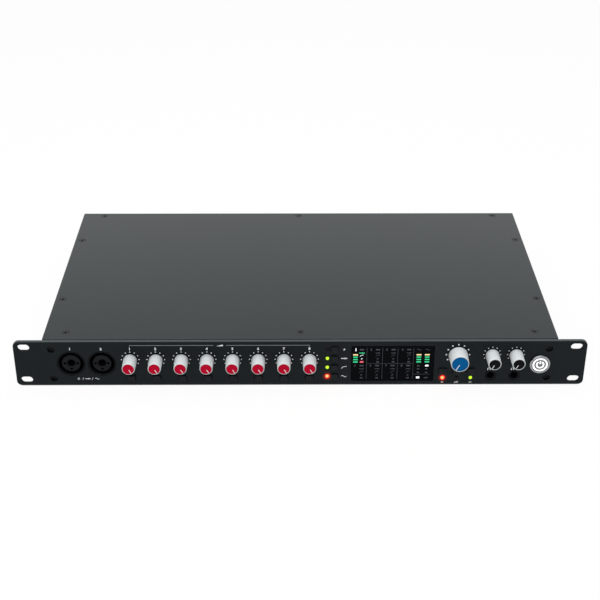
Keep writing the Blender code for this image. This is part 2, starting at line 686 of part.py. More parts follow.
def back_panel(paint):
    """Sheet with the connector openings and a lip that takes the back screws of the cover."""
    outline = rounded_box((0, CASE_TOP / 2), CASE_WIDTH, CASE_TOP, SHEET / 2, steps=1)
    holes = [circle(place, INPUT_NOSE + 2 * FIT_GAP, LARGE_STEPS) for place in BACK_INPUT_PLACES]
    for place in OUTPUT_PLACES:
        holes.append(circle(place, OUTPUT_NOSE + 2 * FIT_GAP, JACK_STEPS))
    for place in OPTICAL_PLACES:
        opening = OPTICAL_SIZE + 2 * FIT_GAP
        holes.append(rounded_box(place, opening, opening, OPTICAL_WALL / 2, steps=1))
    usb_width = USB_WIDTH + 2 * FIT_GAP
    usb_height = USB_HEIGHT + 2 * FIT_GAP
    holes.append(rounded_box(USB_PLACE, usb_width, usb_height, usb_height / 2))
    inlet_width = INLET_WIDTH + 2 * FIT_GAP
    inlet_height = INLET_HEIGHT + 2 * FIT_GAP
    holes.append(rounded_box(INLET_PLACE, inlet_width, inlet_height, INLET_CORNER, steps=2))
    lip_top = CASE_TOP - FIT_GAP
    lip = box((-INNER_SIDE, lip_top - SHEET, -BACK_LIP), (INNER_SIDE, lip_top, -SHEET / 2))
    mesh = join(plate(outline, holes, SHEET), [lip])
    pilots = []
    for x, _ in BACK_SCREW_PLACES:
        pilot = rod((0, 0), PILOT_BORE, SHEET, -2 * SHEET)
        pilot.transform(Matrix.Rotation(-FACING_FRONT[0], 4, "X"))
        pilot.transform(Matrix.Translation((x, CASE_TOP, -BACK_SCREW_INSET)))
        pilots.append(pilot)
    add_back_part("back_panel", cut(mesh, pilots), paint)


def main_board(laminate):
    outline = rounded_box(
        ((MAIN_LEFT + MAIN_RIGHT) / 2, (MAIN_FRONT + MAIN_BACK) / 2),
        MAIN_RIGHT - MAIN_LEFT,
        MAIN_BACK - MAIN_FRONT,
        BOARD_THICK,
        steps=2,
    )
    add_part("main_board", slab(outline, BOARD_THICK, MAIN_TOP), laminate)


def power_supply(plastic):
    """Closed supply unit on the floor of the tray."""
    floor = SHEET + FIT_GAP
    low = (SUPPLY_LEFT, SUPPLY_BACK - SUPPLY_LENGTH, floor)
    high = (SUPPLY_RIGHT, SUPPLY_BACK, floor + SUPPLY_HEIGHT)
    add_part("power_supply", box(low, high, SUPPLY_BEVEL), plastic)


def control_board(laminate):
    """Upright board behind the panel with its potentiometers and push switches."""
    left = GAIN_COLUMNS[0] - CONTROL_MARGIN
    right = PHONES_COLUMNS[-1] + CONTROL_MARGIN
    bottom = MID - CONTROL_DROP
    top = RAIL_BOTTOM - FIT_GAP
    centre = ((left + right) / 2, (bottom + top) / 2)
    outline = rounded_box(centre, right - left, top - bottom, BOARD_THICK, steps=2)
    holes = [circle(place, PHONES_HOUSING + 2 * FIT_GAP, LARGE_STEPS) for place in PHONES_SOCKET_PLACES]
    mesh = plate(outline, holes, BOARD_THICK, CONTROL_FRONT)
    root = CONTROL_FRONT - BOARD_THICK / 2
    pot_front = CONTROL_FRONT + POT_DEPTH
    switch_front = CONTROL_FRONT + SWITCH_DEPTH
    bodies = [block(place, POT_WIDTH, POT_HEIGHT, root, pot_front) for place in KNOB_PLACES]
    bodies += [block(place, SWITCH_SIZE, SWITCH_SIZE, root, switch_front) for place in BUTTON_PLACES]
    bore = SHAFT_DIAMETER + 2 * FIT_GAP
    bushing = bore + 2 * BUSHING_WALL
    bushings = [rod(place, bushing, BEHIND_PANEL, pot_front - BUSHING_WALL) for place in KNOB_PLACES]
    shaft_end = -(PANEL_THICK + SHAFT_REACH)
    bores = [rod(place, bore, 0, shaft_end - FIT_GAP) for place in KNOB_PLACES]
    socket_floor = CONTROL_FRONT + SWITCH_FLOOR
    bores += [rod(place, STEM_DIAMETER + 2 * FIT_GAP, 0, socket_floor) for place in BUTTON_PLACES]
    add_front_part("control_board", cut(join(join(mesh, bodies), bushings), bores), laminate)


def block(place, width, height, back, front):
    """A box in front of the control board, centred on a control."""
    low = (place[0] - width / 2, place[1] - height / 2, back)
    high = (place[0] + width / 2, place[1] + height / 2, front)
    return box(low, high)


def knob_body(base, tip, length, wall):
    """Tapered body with a seat for its cap, and the shaft that runs through the panel into the bushing."""
    seat = tip / 2 - wall
    profile = [
        (0, length - CAP_SINK - FIT_GAP),
        (seat, length - CAP_SINK - FIT_GAP),
        (seat, length),
        (tip / 2 - KNOB_RIM, length),
        (tip / 2, length - KNOB_RIM),
        (base / 2, KNOB_LIFT + KNOB_RIM),
        (base / 2 - KNOB_RIM, KNOB_LIFT),
        (SHAFT_DIAMETER / 2, KNOB_LIFT),
        (SHAFT_DIAMETER / 2, -(PANEL_THICK + SHAFT_REACH)),
        (0, -(PANEL_THICK + SHAFT_REACH)),
    ]
    return turned(profile, KNOB_STEPS)


def knob_cap(tip, length, wall, pointer):
    """Coloured disc with a pointer groove, turned clockwise from the top by the pointer's angle."""
    radius = tip / 2 - wall - FIT_GAP
    profile = [
        (0, length),
        (radius - CAP_EDGE, length),
        (radius, length - CAP_EDGE),
        (radius, length - CAP_SINK),
        (0, length - CAP_SINK),
    ]
    half = POINTER_WIDTH / 2
    groove = box((-half, POINTER_START, length - POINTER_DEPTH), (half, tip, length + POINTER_DEPTH))
    groove.transform(Matrix.Rotation(-pointer, 4, "Z"))
    return cut(turned(profile, KNOB_STEPS), [groove])


def add_knobs(names, places, sizes, pointer, body_plastic, cap_plastic):
    base, tip, length, wall = sizes
    body = knob_body(base, tip, length, wall)
    disc = knob_cap(tip, length, wall, pointer)
    for (knob_name, cap_name), place in zip(names, places):
        add_front_part(knob_name, body, body_plastic, place)
        add_front_part(cap_name, disc, cap_plastic, place)


def push_button(width, height):
    """Button with a crowned front, a flange that keeps it behind the panel, and a stem into its switch."""
    flange_front = BEHIND_PANEL
    flange_back = flange_front - BUTTON_FLANGE_THICK
    body = slab(
        rounded_box((0, 0), width, height, BUTTON_CORNER, steps=1),
        BUTTON_PROUD - BUTTON_CROWN - flange_back - BUTTON_FLANGE_THICK / 2,
        BUTTON_PROUD - BUTTON_CROWN,
    )
    shape = bmesh.new()
    shape.from_mesh(body)
    front = [face for face in shape.faces if face.normal.z > 0.9]
    raised = bmesh.ops.extrude_face_region(shape, geom=front)["geom"]
    crown = [item for item in raised if isinstance(item, bmesh.types.BMVert)]
    bmesh.ops.delete(shape, geom=front, context="FACES_ONLY")
    bmesh.ops.translate(shape, verts=crown, vec=(0, 0, BUTTON_CROWN))
    shrink = Matrix.Diagonal((1 - 2 * BUTTON_CROWN / width, 1 - 2 * BUTTON_CROWN / height, 1, 1))
    bmesh.ops.transform(shape, matrix=shrink, verts=crown)
    shape.to_mesh(body)
    shape.free()
    wide = width / 2 + BUTTON_FLANGE
    high = height / 2 + BUTTON_FLANGE
    flange = box((-wide, -high, flange_back), (wide, high, flange_front))
    stem_end = CONTROL_FRONT + SWITCH_FLOOR + BUTTON_TRAVEL + FIT_GAP
    stem = rod((0, 0), STEM_DIAMETER, flange_back + BUTTON_FLANGE_THICK / 2, stem_end)
    return join(join(body, [flange]), [stem])


def add_buttons(names, places, width, height, plastic):
    mesh = push_button(width, height)
    for name, place in zip(names, places):
        add_front_part(name, mesh, plastic, place)


def light_guide(name, places, clear_plastic):
    """Clear bar behind the panel with a peg through the panel for each light."""
    xs = [x for x, _ in places]
    heights = [height for _, height in places]
    low = (min(xs) - LIGHT_BAR / 2, min(heights) - LIGHT_BAR / 2, BEHIND_PANEL - LIGHT_BAR_THICK)
    high = (max(xs) + LIGHT_BAR / 2, max(heights) + LIGHT_BAR / 2, BEHIND_PANEL)
    pegs = [rod(place, LIGHT_DIAMETER, LIGHT_PROUD, BEHIND_PANEL - FIT_GAP) for place in places]
    add_front_part(name, join(box(low, high), pegs), clear_plastic)


def display_window(glass):
    """Dark lens that fills its opening, with a flange behind the panel."""
    lens = rounded_box(DISPLAY_PLACE, DISPLAY_WIDTH, DISPLAY_HEIGHT, DISPLAY_CORNER)
    reach = CASE_FRONT + DISPLAY_FLANGE_THICK / 2 - DISPLAY_SINK
    mesh = slab(lens, reach, -DISPLAY_SINK)
    flange_back = BEHIND_PANEL - DISPLAY_FLANGE_THICK
    wide = DISPLAY_WIDTH + 2 * DISPLAY_FLANGE
    high = DISPLAY_HEIGHT + 2 * DISPLAY_FLANGE
    flange = block(DISPLAY_PLACE, wide, high, flange_back, BEHIND_PANEL)
    add_front_part("display_window", join(mesh, [flange]), glass)


def display_module(plastic):
    """Meter display between the lens and the control board."""
    front = BEHIND_PANEL - DISPLAY_FLANGE_THICK - FIT_GAP
    wide = DISPLAY_WIDTH - 2 * MODULE_MARGIN
    high = DISPLAY_HEIGHT - 2 * MODULE_MARGIN
    module = block(DISPLAY_PLACE, wide, high, CONTROL_FRONT + FIT_GAP, front)
    add_front_part("display_module", module, plastic)


def input_socket(floor, steps):
    """Socket with a ring groove for a microphone plug round a core with a jack bore."""
    back = -JACK_DEPTH - floor
    profile = [
        (0, -JACK_DEPTH),
        (JACK_BORE / 2, -JACK_DEPTH),
        (JACK_BORE / 2, -INPUT_CORE_SINK),
        (INPUT_CORE / 2, -INPUT_CORE_SINK),
        (INPUT_CORE / 2, -GROOVE_DEPTH),
        (INPUT_MOUTH / 2, -GROOVE_DEPTH),
        (INPUT_MOUTH / 2, 0),
        (INPUT_NOSE / 2, 0),
        (INPUT_NOSE / 2, BEHIND_PANEL),
        (INPUT_HOUSING / 2, BEHIND_PANEL),
        (INPUT_HOUSING / 2, back),
        (0, back),
    ]
    return turned(profile, steps)


def pin_bores():
    """Three contact bores: left, below and right of the jack bore."""
    places = [
        (PIN_CIRCLE / 2 * math.cos(math.radians(angle)), PIN_CIRCLE / 2 * math.sin(math.radians(angle)))
        for angle in (180, 270, 360)
    ]
    return [rod(place, PIN_BORE, INPUT_CORE_SINK, -PIN_DEPTH) for place in places]


def phones_socket():
    back = -PHONES_BORE_DEPTH - PHONES_FLOOR
    profile = [
        (0, -PHONES_BORE_DEPTH),
        (JACK_BORE / 2, -PHONES_BORE_DEPTH),
        (JACK_BORE / 2, 0),
        (PHONES_NOSE / 2, 0),
        (PHONES_NOSE / 2, BEHIND_PANEL),
        (PHONES_HOUSING / 2, BEHIND_PANEL),
        (PHONES_HOUSING / 2, back),
        (0, back),
    ]
    return turned(profile, KNOB_STEPS)


def power_bezel():
    """Raised rim on a barrel that the power button slides in."""
    rim = BEZEL_DIAMETER / 2
    profile = [
        (0, BARREL_FLOOR - BARREL_DEPTH),
        (BARREL_BORE / 2, BARREL_FLOOR - BARREL_DEPTH),
        (BARREL_BORE / 2, BEZEL_PROUD),
        (rim - BEZEL_CHAMFER, BEZEL_PROUD),
        (rim, BEZEL_PROUD - BEZEL_CHAMFER),
        (rim, FIT_GAP),
        (BARREL_DIAMETER / 2, FIT_GAP),
        (BARREL_DIAMETER / 2, -BARREL_DEPTH),
        (0, -BARREL_DEPTH),
    ]
    return turned(profile, LARGE_STEPS)


def power_button():
    top = BEZEL_PROUD - POWER_BUTTON_SINK
    stem_end = BARREL_FLOOR - BARREL_DEPTH + POWER_TRAVEL + FIT_GAP
    profile = [
        (0, top),
        (POWER_BUTTON / 2, top),
        (POWER_BUTTON / 2, top - POWER_BUTTON_THICK),
        (POWER_STEM / 2, top - POWER_BUTTON_THICK),
        (POWER_STEM / 2, stem_end),
        (0, stem_end),
    ]
    return turned(profile, LARGE_STEPS)


def back_inputs(plastic):
    """Six more combined sockets on one moulded carrier."""
    low = BACK_INPUT_PLACES[0][0] - INPUT_HOUSING / 2
    high = BACK_INPUT_PLACES[-1][0] + INPUT_HOUSING / 2
    front = BACK_BLOCK_DEPTH / 2 - JACK_DEPTH - BACK_INPUT_FLOOR
    carrier = box((low, ON_MAIN, front - BACK_BLOCK_DEPTH), (high, ON_MAIN + INPUT_HOUSING, front))
    socket = input_socket(BACK_INPUT_FLOOR, JACK_STEPS)
    sockets = []
    for place in BACK_INPUT_PLACES:
        copy = socket.copy()
        copy.transform(Matrix.Translation((*place, 0)))
        sockets.append(copy)
    add_back_part("back_inputs", join(carrier, sockets), plastic)


def back_outputs(plastic):
    """Ten line output jacks in one moulded block."""
    body = box(
        (OUTPUT_LEFT, ON_MAIN, -OUTPUT_BORE_DEPTH - OUTPUT_FLOOR),
        (OUTPUT_RIGHT, ON_MAIN + OUTPUT_ROWS * OUTPUT_ROW_PITCH, -SHEET - FIT_GAP),
    )
    nose_back = -SHEET - 2 * FIT_GAP
    noses = [rod(place, OUTPUT_NOSE, OUTPUT_PROUD, nose_back, JACK_STEPS) for place in OUTPUT_PLACES]
    bores = [rod(place, JACK_BORE, 2 * OUTPUT_PROUD, -OUTPUT_BORE_DEPTH) for place in OUTPUT_PLACES]
    add_back_part("back_outputs", cut(join(body, noses), bores), plastic)


def optical_ports(plastic):
    """Pair of square optical ports in one block."""
    body = box(
        (OPTICAL_LEFT, ON_MAIN, -OPTICAL_DEPTH),
        (OPTICAL_RIGHT, ON_MAIN + OPTICAL_PITCH, -SHEET - FIT_GAP),
    )
    snouts = [block(p, OPTICAL_SIZE, OPTICAL_SIZE, -SHEET - 2 * FIT_GAP, FIT_GAP) for p in OPTICAL_PLACES]
    inner = OPTICAL_SIZE - 2 * OPTICAL_WALL
    pockets = [block(p, inner, inner, -OPTICAL_POCKET, 2 * FIT_GAP) for p in OPTICAL_PLACES]
    add_back_part("optical_ports", cut(join(body, snouts), pockets), plastic)


def usb_port(steel):
    """Small socket shell on a plinth on the main board."""
    shell = slab(rounded_box(USB_PLACE, USB_WIDTH, USB_HEIGHT, USB_HEIGHT / 2), USB_DEPTH)
    width = USB_WIDTH - 2 * USB_WALL
    height = USB_HEIGHT - 2 * USB_WALL
    pocket = slab(rounded_box(USB_PLACE, width, height, height / 2), USB_POCKET + FIT_GAP, FIT_GAP)
    plinth = box(
        (USB_X - USB_WIDTH / 2, ON_MAIN, -USB_DEPTH),
        (USB_X + USB_WIDTH / 2, USB_PLACE[1], -SHEET - FIT_GAP),
    )
    add_back_part("usb_port", cut(join(shell, [plinth]), [pocket]), steel)


def mains_inlet(plastic):
    """Inlet with a flange on the back panel, a deep pocket and three contact blades."""
    body = slab(rounded_box(INLET_PLACE, INLET_WIDTH, INLET_HEIGHT, INLET_CORNER, steps=2), INLET_DEPTH)
    flange_outline = rounded_box(
        INLET_PLACE, INLET_FLANGE_WIDTH, INLET_FLANGE_HEIGHT, INLET_FLANGE_HEIGHT / 2 - INLET_CORNER
    )
    flange = slab(flange_outline, INLET_FLANGE_THICK, INLET_FRONT)
    body.transform(Matrix.Translation((0, 0, INLET_FLANGE_THICK)))
    pocket_outline = rounded_box(INLET_PLACE, INLET_POCKET_WIDTH, INLET_POCKET_HEIGHT, INLET_CORNER, steps=2)
    pocket = slab(pocket_outline, INLET_POCKET + INLET_FRONT, 2 * INLET_FRONT)
    floor = INLET_FRONT - INLET_POCKET
    blades = []
    for i in (-1, 0, 1):
        rise = INLET_PIN_RISE * (1 if i == 0 else -1)
        place = (INLET_X + i * INLET_PIN_SPREAD, INLET_PLACE[1] + rise)
        blades.append(
            block(place, INLET_PIN_WIDTH, INLET_PIN_HEIGHT, floor - FIT_GAP, floor + INLET_PIN_LENGTH)
        )
    mesh = join(cut(join(body, [flange]), [pocket]), blades)
    add_back_part("mains_inlet", mesh, plastic)


def start_scene():
    """Empties the scene and adds the collections and the root that the parts hang from."""
    for item in list(bpy.data.objects):
        bpy.data.objects.remove(item)
    for name in ("audio_interface_parts", "cutters"):
        bpy.context.scene.collection.children.link(bpy.data.collections.new(name))
    root = bpy.data.objects.new("audio_interface", None)
    root.location = (0, FRONT_TO_ORIGIN, 0)
    bpy.data.collections["audio_interface_parts"].objects.link(root)


def main():
    start_scene()
    panel_paint = make_material("black_panel_paint", "222628", 0.45)
    case_paint = make_material("black_case_paint", "35383a", 0.5)
    steel = make_material("zinc_plated_steel", "a9adb0", 0.35, 1.0)
    laminate = make_material("board_laminate", "1f4a2c", 0.5)
    grey_plastic = make_material("supply_housing", "4a4e50", 0.6)
    pale_plastic = make_material("pale_knob_plastic", "e6e8e6", 0.45)
    red_plastic = make_material("red_cap_plastic", "c81432", 0.35)
    blue_plastic = make_material("blue_cap_plastic", "0b6ea8", 0.35)
    black_plastic = make_material("black_plastic", "15181a", 0.4)
    clear_plastic = make_material("clear_light_plastic", "c8d2c0", 0.2)
    smoked_glass = make_material("smoked_display_lens", "07090b", 0.08)
    bright_metal = make_material("bright_bezel_metal", "c9ccce", 0.2, 1.0)
    white_plastic = make_material("white_button_plastic", "eef1f4", 0.3)

    front_panel(panel_paint)
    chassis_tray(case_paint)
    top_cover(case_paint)
    back_panel(case_paint)
    front_rail(steel)
    main_board(laminate)
    control_board(laminate)
    power_supply(grey_plastic)
    display_window(smoked_glass)
    display_module(black_plastic)

    gain_sizes = (GAIN_KNOB_BASE, GAIN_KNOB_TIP, GAIN_KNOB_LENGTH, GAIN_KNOB_WALL)
    gain_names = [(f"gain_knob_{i + 1}", f"gain_cap_{i + 1}") for i in range(CHANNELS)]
    add_knobs(gain_names, GAIN_PLACES, gain_sizes, POINTER_REST, pale_plastic, red_plastic)
    monitor_sizes = (MONITOR_KNOB_BASE, MONITOR_KNOB_TIP, MONITOR_KNOB_LENGTH, MONITOR_KNOB_WALL)
    monitor_names = [("monitor_knob", "monitor_cap")]
    add_knobs(monitor_names, [MONITOR_PLACE], monitor_sizes, -POINTER_REST, pale_plastic, blue_plastic)
    phones_sizes = (PHONES_KNOB_BASE, PHONES_KNOB_TIP, PHONES_KNOB_LENGTH, PHONES_KNOB_WALL)
    phones_names = [(f"phones_knob_{i + 1}", f"phones_cap_{i + 1}") for i in range(PHONES)]
    add_knobs(phones_names, PHONES_PLACES, phones_sizes, -POINTER_REST, pale_plastic, black_plastic)

    stems = ("select_button", "mode_button", "monitor_button")
    for stem, (places, width, height) in zip(stems, button_rows()):
        names = [f"{stem}_{i + 1}" for i in range(len(places))]
        add_buttons(names, places, width, height, black_plastic)
    light_guide("mode_lights", MODE_LIGHT_PLACES, clear_plastic)
    light_guide("monitor_lights", MONITOR_LIGHT_PLACES, clear_plastic)

    socket = cut(input_socket(INPUT_FLOOR, LARGE_STEPS), pin_bores())
    for i, place in enumerate(INPUT_PLACES):
        add_front_part(f"input_socket_{i + 1}", socket, black_plastic, place)
    jack = phones_socket()
    for i, place in enumerate(PHONES_SOCKET_PLACES):
        add_front_part(f"phones_socket_{i + 1}", jack, black_plastic, place)
    add_front_part("power_bezel", power_bezel(), bright_metal, POWER_PLACE)
    add_front_part("power_button", power_button(), white_plastic, POWER_PLACE)

    back_inputs(black_plastic)
    back_outputs(black_plastic)
    optical_ports(black_plastic)
    usb_port(steel)
    mains_inlet(black_plastic)


main()
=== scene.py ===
"""Looks of a one-unit rack audio interface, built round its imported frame.

Lengths are in metres. What sits on the front is drawn flat, as (across, up) with its depth measured out of the
panel's face, and is then stood up on the panel. The back is drawn in the same way, as seen from behind.
"""
import math

import bmesh
import bpy
from mathutils import Matrix, Vector
from mathutils.geometry import delaunay_2d_cdt


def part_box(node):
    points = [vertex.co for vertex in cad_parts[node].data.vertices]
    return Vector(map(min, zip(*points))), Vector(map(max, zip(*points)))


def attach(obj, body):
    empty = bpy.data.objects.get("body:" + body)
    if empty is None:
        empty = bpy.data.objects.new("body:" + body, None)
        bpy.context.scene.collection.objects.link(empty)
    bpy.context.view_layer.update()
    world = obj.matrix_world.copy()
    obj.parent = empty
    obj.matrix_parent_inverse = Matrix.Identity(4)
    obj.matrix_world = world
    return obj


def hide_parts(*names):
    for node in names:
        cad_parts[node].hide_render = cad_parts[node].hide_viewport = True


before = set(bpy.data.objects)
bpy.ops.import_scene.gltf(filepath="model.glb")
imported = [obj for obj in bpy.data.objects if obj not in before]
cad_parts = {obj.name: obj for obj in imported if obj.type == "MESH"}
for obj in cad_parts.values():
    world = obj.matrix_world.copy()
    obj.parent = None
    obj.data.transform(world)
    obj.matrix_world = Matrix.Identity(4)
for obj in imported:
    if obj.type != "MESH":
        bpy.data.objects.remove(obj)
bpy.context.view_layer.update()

MM = 0.001
INK = 0.05 * MM

PANEL_LOW, PANEL_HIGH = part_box("front_panel")
COVER_LOW, COVER_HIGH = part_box("top_cover")
TRAY_LOW, TRAY_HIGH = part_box("chassis_tray")
BACK_LOW, BACK_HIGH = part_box("back_panel")
FACE_Y, BACK_Y = PANEL_LOW.y, BACK_HIGH.y
PANEL_THICK = PANEL_HIGH.y - PANEL_LOW.y
SHEET = 1.2 * MM

UPRIGHT = Matrix.Rotation(math.radians(90), 4, "X")
TO_FRONT = Matrix.Translation((0, FACE_Y, 0)) @ UPRIGHT
TO_BACK = Matrix.Translation((0, BACK_Y, 0)) @ Matrix.Rotation(math.pi, 4, "Z") @ UPRIGHT
FLAT = Matrix.Identity(4)


def middle(node):
    """A node's middle as seen from the front: across and up."""
    low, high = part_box(node)
    return (low.x + high.x) / 2, (low.z + high.z) / 2


GAINS = [middle(f"gain_knob_{i}") for i in range(1, 9)]
MONITOR = middle("monitor_knob")
PHONES = [middle(f"phones_knob_{i}") for i in (1, 2)]
SELECTS = [middle(f"select_button_{i}") for i in range(1, 9)]
MODES = [middle(f"mode_button_{i}") for i in range(1, 5)]
MONITORS = [middle(f"monitor_button_{i}") for i in range(1, 4)]
INPUTS = [middle(f"input_socket_{i}") for i in (1, 2)]
PHONE_JACKS = [middle(f"phones_socket_{i}") for i in (1, 2)]
POWER = middle("power_bezel")
LENS = middle("display_window")
LIGHT_COLUMN = 22.7 * MM
MODE_LIGHTS = [(LIGHT_COLUMN, up) for across, up in MODES]
LIGHT_ROW = 7.5 * MM
MONITOR_LIGHTS = [(across, LIGHT_ROW) for across, up in MONITORS]
SELECT_FACE, MODE_FACE, MONITOR_FACE = (6.2 * MM, 5.0 * MM), (5.8 * MM, 5.0 * MM), (6.6 * MM, 5.4 * MM)
LENS_FACE = (69.5 * MM, 34 * MM)
PANEL_SCREWS = [(side * 209.4 * MM, up * MM) for side in (-1, 1) for up in (7.75, 36.25)]
COVER_SCREWS = [(side * 210.8 * MM, FACE_Y + y * MM) for side in (-1, 1) for y in (74.6, 191.6)]
COVER_SCREWS += [(x * MM, FACE_Y + 17.0 * MM) for x in (-199.2, 0, 199.2)]
COVER_SCREWS += [(x * MM, FACE_Y + 246.3 * MM) for x in (-196, 0, 196)]
BACK_INPUTS = [((62.5 + 26.5 * i) * MM, 22.2 * MM) for i in range(6)]
BACK_OUTPUTS = [((-3 + 16 * (i - 2)) * MM, up * MM) for up in (31.9, 16.9) for i in range(5)]
OPTICALS = [(x * MM, middle("optical_ports")[1]) for x in (-68.5, -55.5)]
USB = (-middle("usb_port")[0], middle("usb_port")[1])
MAINS = (-middle("mains_inlet")[0], middle("mains_inlet")[1])


# Materials. Grains that are finer than about 0.3 mm on the real thing are drawn that wide or wider, so that they show.

def to_linear(colour):
    """A linear RGBA colour from an sRGB hex value."""
    parts = [int(colour[i:i + 2], 16) / 255 for i in (0, 2, 4)]
    return [p / 12.92 if p <= 0.04045 else ((p + 0.055) / 1.055) ** 2.4 for p in parts] + [1.0]


def add(tree, kind, inputs=(), **settings):
    """Adds one node, with its settings, its values and its links."""
    made = tree.nodes.new(kind)
    for name, value in settings.items():
        setattr(made, name, value)
    for name, value in dict(inputs).items():
        if isinstance(value, bpy.types.NodeSocket):
            tree.links.new(value, made.inputs[name])
        else:
            made.inputs[name].default_value = value
    return made


def surface(name, dark, pale, roughness, grain, relief, patch=25 * MM, stretch=(1, 1, 1), **sockets):
    """A finish whose tone and gloss drift from dark to pale, with a fine grain standing in its bump.

    grain and relief are the width and height of a grain, patch is the width of the drifts, and roughness gives
    the lowest and highest gloss. Other sockets of the shader are given by name.
    """
    material = bpy.data.materials.new(name)
    material.use_nodes = True
    tree = material.node_tree
    shader = tree.nodes["Principled BSDF"]
    place = add(tree, "ShaderNodeTexCoord").outputs["Object"]
    along = add(tree, "ShaderNodeMapping", {"Vector": place, "Scale": stretch}).outputs["Vector"]
    fine = add(tree, "ShaderNodeTexNoise", {"Vector": along, "Scale": 1 / grain, "Detail": 2.0}).outputs["Fac"]
    slow = add(tree, "ShaderNodeTexNoise", {"Vector": place, "Scale": 1 / patch, "Detail": 3.0}).outputs["Fac"]
    tone = add(tree, "ShaderNodeMix", {0: slow, 6: to_linear(dark), 7: to_linear(pale)}, data_type="RGBA")
    tree.links.new(tone.outputs[2], shader.inputs["Base Color"])
    gloss = add(tree, "ShaderNodeMapRange", {"Value": fine, "To Min": roughness[0], "To Max": roughness[1]})
    tree.links.new(gloss.outputs["Result"], shader.inputs["Roughness"])
    bump = add(tree, "ShaderNodeBump", {"Height": fine, "Distance": relief, "Strength": 1.0})
    tree.links.new(bump.outputs["Normal"], shader.inputs["Normal"])
    for socket, value in sockets.items():
        shader.inputs[socket.replace("_", " ")].default_value = value
    return material


def glow(name, colour, light, strength):
    """Diffusing plastic lit from behind: an even light with faint flow marks of the moulding."""
    return surface(name, colour, colour, (0.3, 0.42), 0.5 * MM, 0.004 * MM, Emission_Color=to_linear(light),
                   Emission_Strength=strength)


# Fine texture powder coat on an aluminium plate: nearly black, and so matt that it hardly mirrors. The grit is
# drawn at 0.7 mm, coarser than the real 0.2 mm, so that it shows.
panel_coat = surface("powder_coated_aluminium", "070f12", "0c1518", (0.5, 0.68), 0.7 * MM, 0.03 * MM,
                     Specular_IOR_Level=0.16)
# The panel's edges, smoother than its face and painted paler than it: a painted highlight round its edges and painted
# bounce light from the floor on its lower edge.
edge_coat_painted_light = surface("powder_coated_aluminium_edge_painted_light", "2b3437", "333c3f", (0.2, 0.3), 0.9 * MM, 0.008 * MM)
# Satin powder coat on folded steel: the same black, smoother, so that it takes up the light of the room, with the
# 0.9 mm waves of its orange peel.
case_coat = surface("powder_coated_steel", "131d1f", "172224", (0.16, 0.24), 0.9 * MM, 0.008 * MM,
                    patch=60 * MM, Specular_IOR_Level=0.5)
# Black oxide on steel: dark, a little oily, with soft highlights on the edges.
black_steel = surface("black_oxide_steel", "040506", "090a0b", (0.35, 0.5), 0.4 * MM, 0.005 * MM,
                      Specular_IOR_Level=0.18)
# Black zinc on countersunk screws: the tone of the cover, with a soft sheen.
black_zinc = surface("black_zinc_plated_steel", "0b0e0f", "121617", (0.25, 0.36), 0.4 * MM, 0.005 * MM,
                     Specular_IOR_Level=0.4)
# Zinc plate on sheet steel: pale grey with a drawn grain along the sheet.
zinc = surface("zinc_plated_steel", "9a9ea2", "b9bdc0", (0.28, 0.42), 0.4 * MM, 0.004 * MM,
               stretch=(0.08, 1, 1), Metallic=1.0)
# Moulded ABS in an off white, with the spark-eroded texture of its mould.
pale_abs = surface("moulded_abs_off_white", "cdd3d5", "d6dadb", (0.42, 0.55), 0.35 * MM, 0.006 * MM, 8 * MM,
                   Specular_IOR_Level=0.4)
# Moulded ABS caps, dyed through, with a faint texture.
red_abs = surface("moulded_abs_red", "ae0426", "bc062e", (0.36, 0.48), 0.4 * MM, 0.005 * MM, 5 * MM,
                  Specular_IOR_Level=0.04)
blue_abs = surface("moulded_abs_blue", "00518a", "005d98", (0.36, 0.48), 0.4 * MM, 0.005 * MM, 5 * MM,
                   Specular_IOR_Level=0.04)
black_abs = surface("moulded_abs_black", "07090b", "0c0e10", (0.36, 0.5), 0.4 * MM, 0.005 * MM, 5 * MM,
                    Specular_IOR_Level=0.06)
# Glass-filled nylon of sockets: duller than ABS, with the faint streaks of its fibres.
nylon = surface("glass_filled_nylon_black", "0b0c0e", "131417", (0.42, 0.58), 0.3 * MM, 0.006 * MM, 4 * MM,
                stretch=(1, 0.3, 1), Specular_IOR_Level=0.12)
# Silicone push buttons, black and soft, that swallow the light.
button_rubber = surface("silicone_rubber_black", "0e1215", "13171a", (0.5, 0.65), 0.3 * MM, 0.005 * MM, 3 * MM,
                        Specular_IOR_Level=0.16)
# White screen-printing ink, a thin even film, a little worn in tone.
ink = surface("screen_print_ink_white", "dadee0", "eef0f1", (0.5, 0.65), 0.25 * MM, 0.003 * MM, 2 * MM)
faint_ink = surface("screen_print_ink_grey", "787d80", "8a8f92", (0.5, 0.65), 0.25 * MM, 0.003 * MM, 2 * MM)
# Smoked acrylic with a coat against reflections: deep black and smooth.
smoked = surface("smoked_acrylic", "030507", "07090b", (0.08, 0.16), 1.5 * MM, 0.001 * MM,
                 Specular_IOR_Level=0.03)
# Legends behind the acrylic that aren't lit: barely lighter than the black round them.
unlit = surface("display_legend_unlit", "3e4348", "545a5f", (0.3, 0.4), 0.3 * MM, 0.001 * MM, 2 * MM,
                Specular_IOR_Level=0.03)
# Diffusing film over the display's lamps: flat patches of even light.
segment_green = glow("display_segment_green", "0c6a45", "26dc92", 0.8)
segment_amber = glow("display_segment_amber", "8a6a40", "ffe4a6", 0.9)
segment_white = glow("display_segment_white", "9a9ea2", "f4faff", 1.0)
segment_red = glow("display_segment_red", "702830", "f0566c", 0.85)
# Epoxy indicator lights, lit and dark.
led_lime = glow("epoxy_light_lime", "4a6a08", "ccff26", 1.2)
led_red = glow("epoxy_light_red", "6a0c06", "ff1c0d", 60.0)
led_dark = surface("epoxy_light_dark", "12080b", "1e0b0e", (0.3, 0.4), 0.4 * MM, 0.003 * MM, 2 * MM,
                   Specular_IOR_Level=0.12)


